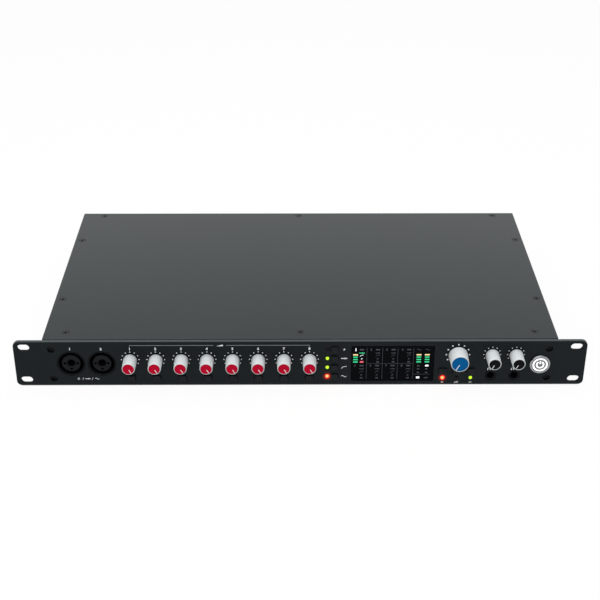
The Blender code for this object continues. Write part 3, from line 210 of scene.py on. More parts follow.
def lit_coat(name, light):
    """The panel's coat round a lit light, with a painted glow in it that falls off with distance."""
    coat = surface(name, "070f12", "0c1518", (0.52, 0.66), 0.7 * MM, 0.012 * MM, Specular_IOR_Level=0.16,
                   Emission_Color=to_linear(light))
    fall = add(coat.node_tree, "ShaderNodeAttribute", attribute_name="glow")
    shader = coat.node_tree.nodes["Principled BSDF"]
    coat.node_tree.links.new(fall.outputs["Fac"], shader.inputs["Emission Strength"])
    return coat


# Painted glow of the red and lime lights on the panel.
glow_red = lit_coat("powder_coat_in_red_glow", "ff2a12")
glow_lime = lit_coat("powder_coat_in_lime_glow", "5aa010")
# Satin nickel, turned and plated: pale metal with a soft sheen.
nickel = surface("satin_nickel", "8e9093", "a4a6a9", (0.14, 0.24), 0.5 * MM, 0.004 * MM, 3 * MM,
                 Metallic=1.0)
# Anodised aluminium in the middle of the power button: a flat mid grey.
grey_satin = surface("anodised_aluminium_grey", "767879", "828486", (0.4, 0.5), 0.4 * MM, 0.004 * MM, 3 * MM,
                     Metallic=0.6, Specular_IOR_Level=0.2)
# Frosted polycarbonate with a white light behind it, round and in the power button.
frosted = glow("frosted_polycarbonate_lit", "e8eaec", "ffffff", 0.75)
# Gold-plated spring contacts inside the sockets.
gold = surface("gold_plated_bronze", "b48a3c", "cfa654", (0.2, 0.32), 0.3 * MM, 0.002 * MM, 2 * MM, Metallic=1.0)
# Glass-epoxy board under solder mask: green, with the weave of its cloth in the surface.
laminate = surface("glass_epoxy_laminate", "0d3a22", "14502f", (0.3, 0.42), 0.6 * MM, 0.01 * MM, 6 * MM)
# Aluminium housing of the mains supply, bead-blasted.
housing = surface("blasted_aluminium", "7c8083", "94989a", (0.45, 0.6), 0.35 * MM, 0.008 * MM, 15 * MM,
                  Metallic=0.9)


# Shapes, drawn in bmesh.

def rounded(corners, steps=4):
    """A closed outline through corners (x, y, radius), each turned in steps."""
    path = []
    for i, (x, y, radius) in enumerate(corners):
        here = Vector((x, y))
        to_last = (Vector(corners[i - 1][:2]) - here).normalized()
        to_next = (Vector(corners[(i + 1) % len(corners)][:2]) - here).normalized()
        if radius <= 0:
            path.append((x, y))
            continue
        half = to_last.angle(to_next) / 2
        centre = here + (to_last + to_next).normalized() * radius / math.sin(half)
        start = here + to_last * radius / math.tan(half) - centre
        end = here + to_next * radius / math.tan(half) - centre
        sweep = start.angle_signed(end)
        for k in range(steps + 1):
            path.append(tuple(centre + Matrix.Rotation(-sweep * k / steps, 2) @ start))
    return path


def box_outline(place, size, radius, steps=4):
    """A rectangle with round corners, anticlockwise."""
    x, y = place
    w, h = size[0] / 2, size[1] / 2
    return rounded([(x - w, y - h, radius), (x + w, y - h, radius), (x + w, y + h, radius),
                    (x - w, y + h, radius)], steps)


def circle(place, diameter, steps=40):
    """A round outline, anticlockwise."""
    turn = [2 * math.pi * i / steps for i in range(steps)]
    return [(place[0] + math.cos(a) * diameter / 2, place[1] + math.sin(a) * diameter / 2) for a in turn]


def stroke(points, width):
    """The outline of a line of even width through points."""
    left, right = [], []
    for i, point in enumerate(points):
        along = Vector(points[min(i + 1, len(points) - 1)]) - Vector(points[max(i - 1, 0)])
        side = Vector((-along.y, along.x)).normalized() * width / 2
        left.append(tuple(Vector(point) + side))
        right.append(tuple(Vector(point) - side))
    return left + right[::-1]


def arc(place, radius, start, end, steps=10):
    """Points on an arc, with its angles in degrees from the right."""
    turns = [math.radians(start + (end - start) * i / steps) for i in range(steps + 1)]
    return [(place[0] + radius * math.cos(a), place[1] + radius * math.sin(a)) for a in turns]


def prism(bm, outline, low, high, paint=0):
    """A straight solid over an outline, from low to high."""
    bottom = [bm.verts.new((x, y, low)) for x, y in outline]
    top = [bm.verts.new((x, y, high)) for x, y in outline]
    faces = [bm.faces.new(bottom[::-1]), bm.faces.new(top)]
    for i in range(len(outline)):
        j = (i + 1) % len(outline)
        faces.append(bm.faces.new((bottom[i], bottom[j], top[j], top[i])))
    for face in faces:
        face.material_index = paint


def lathe(bm, profile, place=(0, 0), steps=48, paint=(), closed=False):
    """A turned solid from (radius, height) points, on an axis at place; paint gives each band its material."""
    rings = []
    for radius, height in profile:
        count = steps if radius > 0 else 1
        turns = [2 * math.pi * i / count for i in range(count)]
        rings.append([bm.verts.new((place[0] + radius * math.cos(a), place[1] + radius * math.sin(a), height))
                      for a in turns])
    pairs = list(zip(rings, rings[1:])) + ([(rings[-1], rings[0])] if closed else [])
    for band, (one, two) in enumerate(pairs):
        for i in range(steps):
            j = (i + 1) % steps
            corners = [one[i % len(one)], one[j % len(one)], two[j % len(two)], two[i % len(two)]]
            if len(one) == len(two) == 1:
                continue
            bm.faces.new(list(dict.fromkeys(corners))).material_index = paint[band] if paint else 0


def plate(bm, outline, holes, front, back, edge, steps=2, edge_paint=0, low_edge=0.0):
    """A flat plate with round edges, from back to front, with convex holes through it.

    low_edge is a larger radius for the front of the outline's lower side.
    """
    loops = [outline] + [hole[::-1] for hole in holes]
    rings, owners = [], []
    for number, loop in enumerate(loops):
        loop = [Vector(p) for i, p in enumerate(loop) if (Vector(p) - Vector(loop[i - 1])).length > 1e-7]
        inward = []
        for i, point in enumerate(loop):
            before = (point - loop[i - 1]).normalized()
            after = (loop[(i + 1) % len(loop)] - point).normalized()
            normal = Vector((-(before + after).y, (before + after).x)).normalized()
            inward.append(normal / max(0.5, normal.dot(Vector((-after.y, after.x)))))
        softer = 0 if number else max(0.0, low_edge - edge)
        radii = [edge + softer * max(0.0, n.y) ** 2 for n in inward]
        turns = [math.pi / 2 * k / steps for k in range(steps + 1)]
        rows = [[bm.verts.new((*(p + n * r * (1 - math.sin(a))), front - r * (1 - math.cos(a))))
                 for p, n, r in zip(loop, inward, radii)] for a in turns]
        rows += [[bm.verts.new((*(p + n * edge * (1 - math.sin(a))), back + edge * (1 - math.cos(a))))
                  for p, n in zip(loop, inward)] for a in turns[::-1]]
        for one, two in zip(rows, rows[1:]):
            for i in range(len(loop)):
                j = (i + 1) % len(loop)
                bm.faces.new((one[i], two[i], two[j], one[j])).material_index = 0 if number else edge_paint
        rings.append(rows)
        owners += [number] * len(loop)
    flat = [Vector(v.co[:2]) for rows in rings for v in rows[0]]
    edges, first = [], 0
    for rows in rings:
        count = len(rows[0])
        edges += [(first + i, first + (i + 1) % count) for i in range(count)]
        first += count
    fronts = [v for rows in rings for v in rows[0]]
    backs = [v for rows in rings for v in rows[-1]]
    _, _, triangles, origin, _, _ = delaunay_2d_cdt(flat, edges, [], 1, 1e-9)
    for triangle in triangles:
        corners = [origin[i][0] for i in triangle]
        if owners[corners[0]] and len({owners[c] for c in corners}) == 1:
            continue
        bm.faces.new([fronts[c] for c in corners])
        bm.faces.new([backs[c] for c in corners[::-1]])


def bore(bm, tool):
    """Cuts one closed shape out of another and gives back the result."""
    pair = []
    for shape in (bm, tool):
        bmesh.ops.recalc_face_normals(shape, faces=shape.faces)
        mesh = bpy.data.meshes.new("blank")
        shape.to_mesh(mesh)
        shape.free()
        pair.append(bpy.data.objects.new("blank", mesh))
        bpy.context.scene.collection.objects.link(pair[-1])
    cut = pair[0].modifiers.new("cut", "BOOLEAN")
    cut.solver, cut.operation, cut.object = "EXACT", "DIFFERENCE", pair[1]
    graph = bpy.context.evaluated_depsgraph_get()
    result = bmesh.new()
    result.from_mesh(bpy.data.meshes.new_from_object(pair[0].evaluated_get(graph)))
    for blank in pair:
        bpy.data.objects.remove(blank)
    return result


def place_piece(name, mesh, body, nodes, stand, crease=32):
    """Stands a finished mesh in its place, and says what carries it and which nodes it stands for."""
    mesh.transform(stand)
    mesh.shade_smooth()
    mesh.set_sharp_from_angle(angle=math.radians(crease))
    made = bpy.data.objects.new(name, mesh)
    bpy.context.scene.collection.objects.link(made)
    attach(made, body)
    if nodes:
        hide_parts(*nodes)


def piece(name, bm, paints, body="chassis", nodes=(), stand=TO_FRONT, crease=32):
    """Turns a drawn shape into a piece of the object."""
    bmesh.ops.remove_doubles(bm, verts=bm.verts, dist=1e-8)
    bmesh.ops.recalc_face_normals(bm, faces=bm.faces)
    mesh = bpy.data.meshes.new(name)
    bm.to_mesh(mesh)
    bm.free()
    for paint in paints:
        mesh.materials.append(paint)
    place_piece(name, mesh, body, nodes, stand, crease)


# Geometry Nodes trees for what repeats.

def tree_with(name, sizes):
    """A new tree with its named inputs, and the outputs of its input node."""
    tree = bpy.data.node_groups.new(name, "GeometryNodeTree")
    tree.interface.new_socket("Geometry", in_out="INPUT", socket_type="NodeSocketGeometry")
    for size in sizes:
        kind = "NodeSocketInt" if size in ("Count", "Seed") else "NodeSocketFloat"
        tree.interface.new_socket(size, in_out="INPUT", socket_type=kind)
    tree.interface.new_socket("Material", in_out="INPUT", socket_type="NodeSocketMaterial")
    tree.interface.new_socket("Geometry", in_out="OUTPUT", socket_type="NodeSocketGeometry")
    return tree, add(tree, "NodeGroupInput").outputs


def end_tree(tree, copies, given):
    """Makes the copies real, gives them their material and ends the tree."""
    real = add(tree, "GeometryNodeRealizeInstances", {"Geometry": copies})
    painted = add(tree, "GeometryNodeSetMaterial",
                  {"Geometry": real.outputs["Geometry"], "Material": given["Material"]})
    add(tree, "NodeGroupOutput", {"Geometry": painted.outputs["Geometry"]})
    return tree


def screw_tree():
    """Screw heads with a hexagon recess, their tops at the given places, each turned by chance."""
    tree, given = tree_with("screw_heads", ("Head Radius", "Neck Radius", "Head Height", "Recess Radius", "Seed"))
    head = add(tree, "GeometryNodeMeshCone", {
        "Vertices": 32, "Radius Top": given["Head Radius"], "Radius Bottom": given["Neck Radius"],
        "Depth": given["Head Height"]})
    sunk = add(tree, "ShaderNodeMath", {0: given["Head Height"], 1: -1.0}, operation="MULTIPLY")
    drop = add(tree, "ShaderNodeCombineXYZ", {"Z": sunk.outputs[0]})
    lowered = add(tree, "GeometryNodeTransform",
                  {"Geometry": head.outputs["Mesh"], "Translation": drop.outputs["Vector"]})
    recess = add(tree, "GeometryNodeMeshCylinder", {
        "Vertices": 6, "Radius": given["Recess Radius"], "Depth": given["Head Height"]})
    cut = add(tree, "GeometryNodeMeshBoolean", {
        "Mesh 1": lowered.outputs["Geometry"], "Mesh 2": recess.outputs["Mesh"]}, operation="DIFFERENCE")
    turn = add(tree, "FunctionNodeRandomValue", {"Max": (0.0, 0.0, 6.283), "Seed": given["Seed"]},
               data_type="FLOAT_VECTOR")
    copies = add(tree, "GeometryNodeInstanceOnPoints", {
        "Points": given["Geometry"], "Instance": cut.outputs["Mesh"], "Rotation": turn.outputs["Value"]})
    return end_tree(tree, copies.outputs["Instances"], given)


def dial_tree():
    """Rings of printed dots round the given places, from the lower left over the top to the lower right."""
    tree, given = tree_with("dial_dots", ("Ring Radius", "Dot Radius", "Thickness", "Count", "Start", "Sweep"))
    ring = add(tree, "GeometryNodeCurveArc", {
        "Resolution": given["Count"], "Radius": given["Ring Radius"], "Start Angle": given["Start"],
        "Sweep Angle": given["Sweep"]})
    dot = add(tree, "GeometryNodeMeshCylinder", {
        "Vertices": 14, "Radius": given["Dot Radius"], "Depth": given["Thickness"]})
    dots = add(tree, "GeometryNodeInstanceOnPoints", {
        "Points": ring.outputs["Curve"], "Instance": dot.outputs["Mesh"]})
    copies = add(tree, "GeometryNodeInstanceOnPoints", {
        "Points": given["Geometry"], "Instance": dots.outputs["Instances"]})
    return end_tree(tree, copies.outputs["Instances"], given)


def bar_tree():
    """Stacks of meter bars that rise from the given places."""
    tree, given = tree_with("meter_bars", ("Bar Width", "Bar Height", "Thickness", "Pitch", "Count"))
    size = add(tree, "ShaderNodeCombineXYZ", {
        "X": given["Bar Width"], "Y": given["Bar Height"], "Z": given["Thickness"]})
    bar = add(tree, "GeometryNodeMeshCube", {"Size": size.outputs["Vector"]})
    step = add(tree, "ShaderNodeCombineXYZ", {"Y": given["Pitch"]})
    stack = add(tree, "GeometryNodeMeshLine", {"Count": given["Count"], "Offset": step.outputs["Vector"]})
    bars = add(tree, "GeometryNodeInstanceOnPoints", {
        "Points": stack.outputs["Mesh"], "Instance": bar.outputs["Mesh"]})
    copies = add(tree, "GeometryNodeInstanceOnPoints", {
        "Points": given["Geometry"], "Instance": bars.outputs["Instances"]})
    return end_tree(tree, copies.outputs["Instances"], given)


def grown(name, tree, places, sizes, material, nodes=(), stand=TO_FRONT):
    """The piece that a tree makes at the given places, as a plain mesh."""
    seeds = bpy.data.meshes.new(name)
    seeds.from_pydata(places, [], [])
    holder = bpy.data.objects.new(name + "_places", seeds)
    bpy.context.scene.collection.objects.link(holder)
    growth = holder.modifiers.new("growth", "NODES")
    growth.node_group = tree
    for socket in tree.interface.items_tree:
        if socket.in_out == "INPUT" and socket.name in sizes:
            growth[socket.identifier] = sizes[socket.name]
        elif socket.in_out == "INPUT" and socket.name == "Material":
            growth[socket.identifier] = material
    graph = bpy.context.evaluated_depsgraph_get()
    mesh = bpy.data.meshes.new_from_object(holder.evaluated_get(graph))
    bpy.data.objects.remove(holder)
    mesh.name = name
    place_piece(name, mesh, "chassis", nodes, stand)


SCREW_HEADS, DIAL_DOTS, METER_BARS = screw_tree(), dial_tree(), bar_tree()


# The case.

def make_case():
    """Panel, cover, folded tray and back sheet, with their screws."""
    panel = bmesh.new()
    size = (PANEL_HIGH.x - PANEL_LOW.x, PANEL_HIGH.z - PANEL_LOW.z)
    centre = (0, size[1] / 2)
    slot_out, slot_rise, slot, slot_radius = 232.55 * MM, 15.875 * MM, (10.1 * MM, 6.4 * MM), 3.199 * MM
    holes = [box_outline((side * slot_out, centre[1] + rise * slot_rise), slot, slot_radius, 10)
             for side in (-1, 1) for rise in (-1, 1)]
    for places, bore_width, steps in ((PANEL_SCREWS, 6.2 * MM, 32), (INPUTS, 23.8 * MM, 72),
                                      (GAINS + [MONITOR] + PHONES, 7.2 * MM, 32), (PHONE_JACKS, 9.6 * MM, 40),
                                      (MODE_LIGHTS + MONITOR_LIGHTS, 3.1 * MM, 24), ([POWER], 16.6 * MM, 56)):
        holes += [circle(place, bore_width, steps) for place in places]
    holes += [box_outline(LENS, [side + 0.6 * MM for side in LENS_FACE], 1.1 * MM)]
    for places, face in ((SELECTS, SELECT_FACE), (MODES, MODE_FACE), (MONITORS, MONITOR_FACE)):
        holes += [box_outline(place, [side + 0.24 * MM for side in face], 0.85 * MM) for place in places]
    # The outline's faces take the paler edge coat: a painted highlight, and painted floor bounce on the lower edge.
    plate(panel, box_outline(centre, size, 5 * MM, 10), holes, 0, -PANEL_THICK, 0.35 * MM, 3, edge_paint=1,
          low_edge=1.4 * MM)
    piece("front_plate", panel, [panel_coat, edge_coat_painted_light], nodes=["front_panel"], crease=12)

    cover = bmesh.new()
    seam = 2.2 * MM
    middle_y = (COVER_LOW.y + seam + COVER_HIGH.y) / 2
    size = (COVER_HIGH.x - COVER_LOW.x, COVER_HIGH.y - COVER_LOW.y - seam)
    plate(cover, box_outline((0, middle_y), size, 1.2 * MM), [circle(place, 6.3 * MM, 32) for place in COVER_SCREWS],
          COVER_HIGH.z, COVER_LOW.z, 0.4 * MM, 3)
    piece("cover_sheet", cover, [case_coat], nodes=["top_cover"], stand=FLAT, crease=12)
    # A dark strip in the seam between panel and cover: a dark piece standing in for the shade in that gap, as painted
    # shade.
    strip = bmesh.new()
    reach = (COVER_HIGH.x - COVER_LOW.x - 1 * MM, seam + 0.6 * MM)
    plate(strip, box_outline((0, PANEL_HIGH.y + reach[1] / 2), reach, 0.2 * MM), [], COVER_LOW.z + 0.5 * MM,
          COVER_LOW.z - 0.2 * MM, 0.15 * MM)
    piece("seam_shade_strip", strip, [button_rubber], stand=FLAT)

    tray = bmesh.new()
    left, right, top, lip, bend = TRAY_LOW.x, TRAY_HIGH.x, TRAY_HIGH.z, 14 * MM, 1.9 * MM
    outer = [(left + lip, top, 0), (left, top, bend), (left, 0, bend), (right, 0, bend), (right, top, bend),
             (right - lip, top, 0)]
    thin = bend - SHEET
    inner = [(right - lip, top - SHEET, 0), (right - SHEET, top - SHEET, thin), (right - SHEET, SHEET, thin),
             (left + SHEET, SHEET, thin), (left + SHEET, top - SHEET, thin), (left + lip, top - SHEET, 0)]
    prism(tray, rounded(outer + inner, 5), FACE_Y - TRAY_HIGH.y, FACE_Y - TRAY_LOW.y)
    piece("tray_sheet", tray, [case_coat], nodes=["chassis_tray"], crease=25)

    sheet = bmesh.new()
    width, low, high = BACK_HIGH.x - BACK_LOW.x, BACK_LOW.z, BACK_HIGH.z
    holes = [circle(place, 24.0 * MM, 64) for place in BACK_INPUTS]
    holes += [circle(place, 11.6 * MM, 40) for place in BACK_OUTPUTS]
    holes += [box_outline(place, (10.2 * MM, 10.2 * MM), 0.4 * MM) for place in OPTICALS]
    holes += [box_outline(USB, (9.6 * MM, 4.0 * MM), 1.6 * MM)]
    holes += [box_outline(MAINS, (27.2 * MM, 19.4 * MM), 1.5 * MM)]
    plate(sheet, box_outline((0, (low + high) / 2), (width, high - low), 0.5 * MM), holes, 0, -SHEET, 0.25 * MM)
    piece("back_sheet", sheet, [case_coat], nodes=["back_panel"], stand=TO_BACK, crease=12)

    flat_head = {"Head Radius": 3.0 * MM, "Neck Radius": 2.4 * MM, "Head Height": 1.5 * MM,
                 "Recess Radius": 1.25 * MM}
    grown("panel_screws", SCREW_HEADS, [(x, y, -2.1 * MM) for x, y in PANEL_SCREWS],
          {**flat_head, "Head Radius": 2.9 * MM, "Neck Radius": 2.9 * MM, "Seed": 3}, black_steel)
    grown("cover_screws", SCREW_HEADS, [(x, y, COVER_HIGH.z - 0.08 * MM) for x, y in COVER_SCREWS],
          {**flat_head, "Seed": 5}, black_zinc, stand=FLAT)


# Knobs, buttons and lights.

def make_knob(name, place, base, tip, length, cap, turn, paint):
    """A tapered knob on its shaft, with a flush cap and a white pointer towards turn, in degrees from the top."""
    body = bmesh.new()
    lift, ring = 0.8 * MM, cap / 2 + 0.15 * MM
    lathe(body, [(0, -9 * MM), (3 * MM, -9 * MM), (3 * MM, lift), (base / 2 - 0.5 * MM, lift),
                 (base / 2 - 0.15 * MM, lift + 0.15 * MM), (base / 2, lift + 0.5 * MM),
                 (tip / 2, length - 0.6 * MM), (tip / 2 - 0.1 * MM, length - 0.25 * MM),
                 (tip / 2 - 0.3 * MM, length - 0.05 * MM), (tip / 2 - 0.55 * MM, length),
                 (ring + 0.12 * MM, length), (ring, length - 0.12 * MM), (ring, length - 1.2 * MM),
                 (0, length - 1.2 * MM)], place, 64)
    piece(f"{name}_body", body, [pale_abs], name, [name])
    disc = bmesh.new()
    lathe(disc, [(0, length - 1.2 * MM), (cap / 2, length - 1.2 * MM), (cap / 2, length - 0.2 * MM),
                 (cap / 2 - 0.06 * MM, length - 0.06 * MM), (cap / 2 - 0.2 * MM, length),
                 (cap / 4, length - 0.06 * MM), (0, length - 0.08 * MM)], place, 64)
    way = Vector((math.sin(math.radians(turn)), math.cos(math.radians(turn))))
    line = [tuple(Vector(place) + way * reach) for reach in (0.8 * MM, cap / 2 - 0.1 * MM)]
    prism(disc, stroke(line, 0.58 * MM), length - 0.4 * MM, length + 0.03 * MM, 1)
    node = name.replace("knob", "cap")
    piece(f"{node}_face", disc, [paint, ink], name, [node])


def make_button(node, place, face):
    """A push button with soft edges, a little proud of the panel."""
    shape = bmesh.new()
    plate(shape, box_outline(place, face, 0.7 * MM), [], 1.6 * MM, -3 * MM, 0.4 * MM, 4)
    piece(f"{node}_top", shape, [button_rubber], node, [node], crease=40)


def make_light(name, place, paint, node):
    """The round end of a light guide, domed, in its hole."""
    dome = bmesh.new()
    top = [(1.3 * MM * math.cos(a), 0.05 * MM + 0.5 * MM * math.sin(a)) for a in
           [math.pi / 2 * k / 6 for k in range(6)]]
    lathe(dome, [(0, -4 * MM), (1.3 * MM, -4 * MM)] + top + [(0, 0.55 * MM)], place, 28)
    piece(name, dome, [paint], nodes=[node])


def make_glow(name, place, reach, strength, paint):
    """A film of painted light on the panel round a lit light, strongest at its rim."""
    film = bmesh.new()
    radii = [1.62 * MM + (reach - 1.62 * MM) * k / 6 for k in range(7)]
    lathe(film, [(radii[0], -INK)] + [(radius, INK / 2) for radius in radii] + [(reach, -INK)], place, 32,
          closed=True)
    layer = film.verts.layers.float.new("glow")
    for vert in film.verts:
        far = (Vector(vert.co[:2]) - Vector(place)).length
        vert[layer] = strength * max(0.0, (reach - far) / (reach - radii[0])) ** 2
    piece(name, film, [paint])


def make_controls():
    """Every knob, push button and indicator light."""
    for i, place in enumerate(GAINS, 1):
        make_knob(f"gain_knob_{i}", place, 11.6 * MM, 10.8 * MM, 15.5 * MM, 9.4 * MM, 150, red_abs)
    make_knob("monitor_knob", MONITOR, 16.2 * MM, 15.0 * MM, 15.5 * MM, 13.4 * MM, -150, blue_abs)
    for i, place in enumerate(PHONES, 1):
        make_knob(f"phones_knob_{i}", place, 11.6 * MM, 10.8 * MM, 16.2 * MM, 9.2 * MM, -150, black_abs)
    for kind, places, face in (("select", SELECTS, SELECT_FACE), ("mode", MODES, MODE_FACE),
                               ("monitor", MONITORS, MONITOR_FACE)):
        for i, place in enumerate(places, 1):
            make_button(f"{kind}_button_{i}", place, face)
    for i, (place, paint) in enumerate(zip(MODE_LIGHTS, (led_dark, led_lime, led_lime, led_red)), 1):
        make_light(f"mode_light_{i}", place, paint, "mode_lights")
    for i, (place, paint) in enumerate(zip(MONITOR_LIGHTS, (led_red, led_dark, led_lime)), 1):
        make_light(f"monitor_light_{i}", place, paint, "monitor_lights")
    # Films of painted glow on the panel round the lit lights.
    make_glow("mode_glow_4", MODE_LIGHTS[3], 4.4 * MM, 0.55, glow_red)
    make_glow("monitor_glow_1", MONITOR_LIGHTS[0], 4.2 * MM, 0.45, glow_red)
    for name, place in (("mode_glow_2", MODE_LIGHTS[1]), ("mode_glow_3", MODE_LIGHTS[2]),
                        ("monitor_glow_3", MONITOR_LIGHTS[2])):
        make_glow(name, place, 2.6 * MM, 0.25, glow_lime)


# Sockets and the power button.

def socket_shell(place, proud):
    """A combined three-pin and jack socket: a nose round a deep groove, and a core bored for jack and pins."""
    shell = bmesh.new()
    lathe(shell, [(0, -22 * MM), (12.2 * MM, -22 * MM), (12.2 * MM, -PANEL_THICK - 0.3 * MM),
                  (11.6 * MM, -PANEL_THICK - 0.3 * MM), (11.6 * MM, proud - 0.3 * MM),
                  (11.3 * MM, proud), (11.1 * MM, proud), (10.7 * MM, proud - 0.4 * MM), (10.7 * MM, -14 * MM),
                  (7.9 * MM, -14 * MM), (7.9 * MM, proud - 0.9 * MM), (7.6 * MM, proud - 0.6 * MM),
                  (4.2 * MM, proud - 0.6 * MM), (3.3 * MM, proud - 1.4 * MM), (3.3 * MM, -18 * MM), (0, -18 * MM)],
          place, 72)
    pins = bmesh.new()
    spots = [Vector(place) + Vector(way) * 5.4 * MM for way in ((-1, 0), (0, -1), (1, 0))]
    for spot in spots:
        lathe(pins, [(0, -12 * MM), (1.15 * MM, -12 * MM), (1.15 * MM, proud + 1 * MM), (0, proud + 1 * MM)],
              spot, 20)
    shell = bore(shell, pins)
    for spot in spots:
        lathe(shell, [(1.1 * MM, -7 * MM), (1.1 * MM, -11.5 * MM), (0.8 * MM, -11.5 * MM), (0.8 * MM, -7.2 * MM)],
              spot, 16, (1, 1, 1, 1), True)
    return shell


def make_sockets():
    """Combined inputs and headphone jacks of the front, and the power button in its bezel."""
    for i, place in enumerate(INPUTS, 1):
        piece(f"input_shell_{i}", socket_shell(place, 0), [nylon, gold], nodes=[f"input_socket_{i}"])
    for i, place in enumerate(PHONE_JACKS, 1):
        jack = bmesh.new()
        lathe(jack, [(0, -15 * MM), (6 * MM, -15 * MM), (6 * MM, -PANEL_THICK - 0.3 * MM),
                     (4.5 * MM, -PANEL_THICK - 0.3 * MM), (4.5 * MM, -0.25 * MM), (4.25 * MM, 0), (3.9 * MM, 0),
                     (3.3 * MM, -0.6 * MM), (3.3 * MM, -12 * MM), (0, -12 * MM)], place, 48)
        lathe(jack, [(3.28 * MM, -8 * MM), (3.28 * MM, -11 * MM), (2.95 * MM, -10.6 * MM), (2.95 * MM, -8.4 * MM)],
              place, 40, (1, 1, 1, 1), True)
        piece(f"phones_jack_{i}", jack, [nylon, nickel], nodes=[f"phones_socket_{i}"])
    bezel = bmesh.new()
    lathe(bezel, [(8.15 * MM, -12 * MM), (8.15 * MM, 0), (8.9 * MM, 0), (8.9 * MM, 0.9 * MM), (8.6 * MM, 1.5 * MM),
                  (8.0 * MM, 1.9 * MM), (7.6 * MM, 2.0 * MM), (7.2 * MM, 1.9 * MM), (6.95 * MM, 1.6 * MM),
                  (6.95 * MM, -12 * MM)], POWER, 72, closed=True)
    piece("power_rim", bezel, [nickel], nodes=["power_bezel"])
    button = bmesh.new()
    lathe(button, [(0, -8 * MM), (6.7 * MM, -8 * MM), (6.7 * MM, 1.45 * MM), (6.45 * MM, 1.7 * MM),
                   (5.05 * MM, 1.6 * MM), (4.95 * MM, 1.5 * MM), (0, 1.45 * MM)], POWER, 72, (0, 0, 0, 1, 2, 2))
    top = 1.5 * MM
    prism(button, stroke(arc(POWER, 2.95 * MM, 122, 418, 28), 1.3 * MM), top - 0.2 * MM, top + INK, 1)
    prism(button, box_outline((POWER[0], POWER[1] + 2.2 * MM), (1.2 * MM, 3.1 * MM), 0.3 * MM), top - 0.2 * MM,
          top + INK, 1)
    piece("power_face", button, [nickel, frosted, grey_satin], "power_button",
          ["power_button"])


# The display and the printed marks.

def wave(width, height):
    """Points along one swing of a wave."""
    return [(width * (k / 8 - 1), height * math.sin(math.pi * k / 8)) for k in range(17)]


# Plain signs, drawn one unit high round their middle: outlines to fill.
SIGNS = {
    "bolt": [[(0.25, 0.55), (-0.45, -0.08), (-0.08, -0.08), (-0.25, -0.55), (0.45, 0.12), (0.08, 0.12)]],
    "plug": [stroke([(-1.1, 0), (0.2, 0)], 0.32), stroke([(0.2, 0), (0.5, 0)], 0.72),
             stroke([(0.6, 0), (1.1, 0)], 0.4)],
    "slope": [stroke([(-0.95, -0.5), (-0.7, -0.1), (-0.4, 0.18), (0.0, 0.34), (0.95, 0.4)], 0.2)],
    "turned": [stroke(arc((0, 0), 0.34, 0, 180), 0.16), stroke(arc((0, 0), 0.34, 180, 360), 0.16),
               stroke([(-0.45, -0.5), (0.45, 0.5)], 0.14)],
    "wave": [stroke(wave(0.9, 0.34), 0.22)],
    "cross": [stroke([(-0.5, -0.45), (0.5, 0.45)], 0.24), stroke([(-0.5, 0.45), (0.5, -0.45)], 0.24)],
    "swap": [stroke([(-0.8, 0.25), (0.8, 0.25)], 0.2), stroke([(-0.8, -0.25), (0.8, -0.25)], 0.2),
             [(0.8, 0.5), (1.15, 0.25), (0.8, 0.0)], [(-0.8, 0.0), (-1.15, -0.25), (-0.8, -0.5)]],
    "voice": [arc((0, 0), 0.26, 0, 342, 14), stroke(arc((0, 0), 0.55, -50, 50), 0.16),
              stroke(arc((0, 0), 0.55, 130, 230), 0.16)],
    "ring": [stroke(arc((0, 0), 0.4, 0, 180), 0.2), stroke(arc((0, 0), 0.4, 180, 360), 0.2)],
    "slash": [stroke([(-0.25, -0.6), (0.25, 0.6)], 0.16)],
    "phones": [stroke(arc((0, -0.1), 0.55, 0, 180), 0.26), stroke([(-0.5, -0.12), (-0.5, -0.6)], 0.44),
               stroke([(0.5, -0.12), (0.5, -0.6)], 0.44)],
    "ramp": [[(-1.5, -0.4), (1.5, -0.4), (1.5, 0.4)]],
    "block": [stroke([(-1.0, 0), (1.0, 0)], 0.72)],
    "small_block": [stroke([(-0.65, 0), (0.65, 0)], 0.72)],
}


def sign(bm, name, across, up, height, out=0.0, paint=0):
    """Draws one sign, with its place and height in millimetres."""
    for outline in SIGNS[name]:
        prism(bm, [((across + x * height) * MM, (up + y * height) * MM) for x, y in outline], out - INK, out + INK,
              paint)


def numeral(bm, text, across, up, height, out=0.0, weight=0.065):
    """Draws a plain number, with its place and height in millimetres, each line thickened by weight heights."""
    curve = bpy.data.curves.new("numeral", "FONT")
    curve.body, curve.size, curve.extrude, curve.resolution_u = text, height * 1.4 * MM, INK, 3
    curve.align_x, curve.offset = "CENTER", height * weight * MM
    holder = bpy.data.objects.new("numeral", curve)
    bpy.context.scene.collection.objects.link(holder)
    graph = bpy.context.evaluated_depsgraph_get()
    mesh = bpy.data.meshes.new_from_object(holder.evaluated_get(graph))
    mesh.transform(Matrix.Translation((across * MM, (up - height / 2) * MM, out)))
    bm.from_mesh(mesh)
    bpy.data.objects.remove(holder)


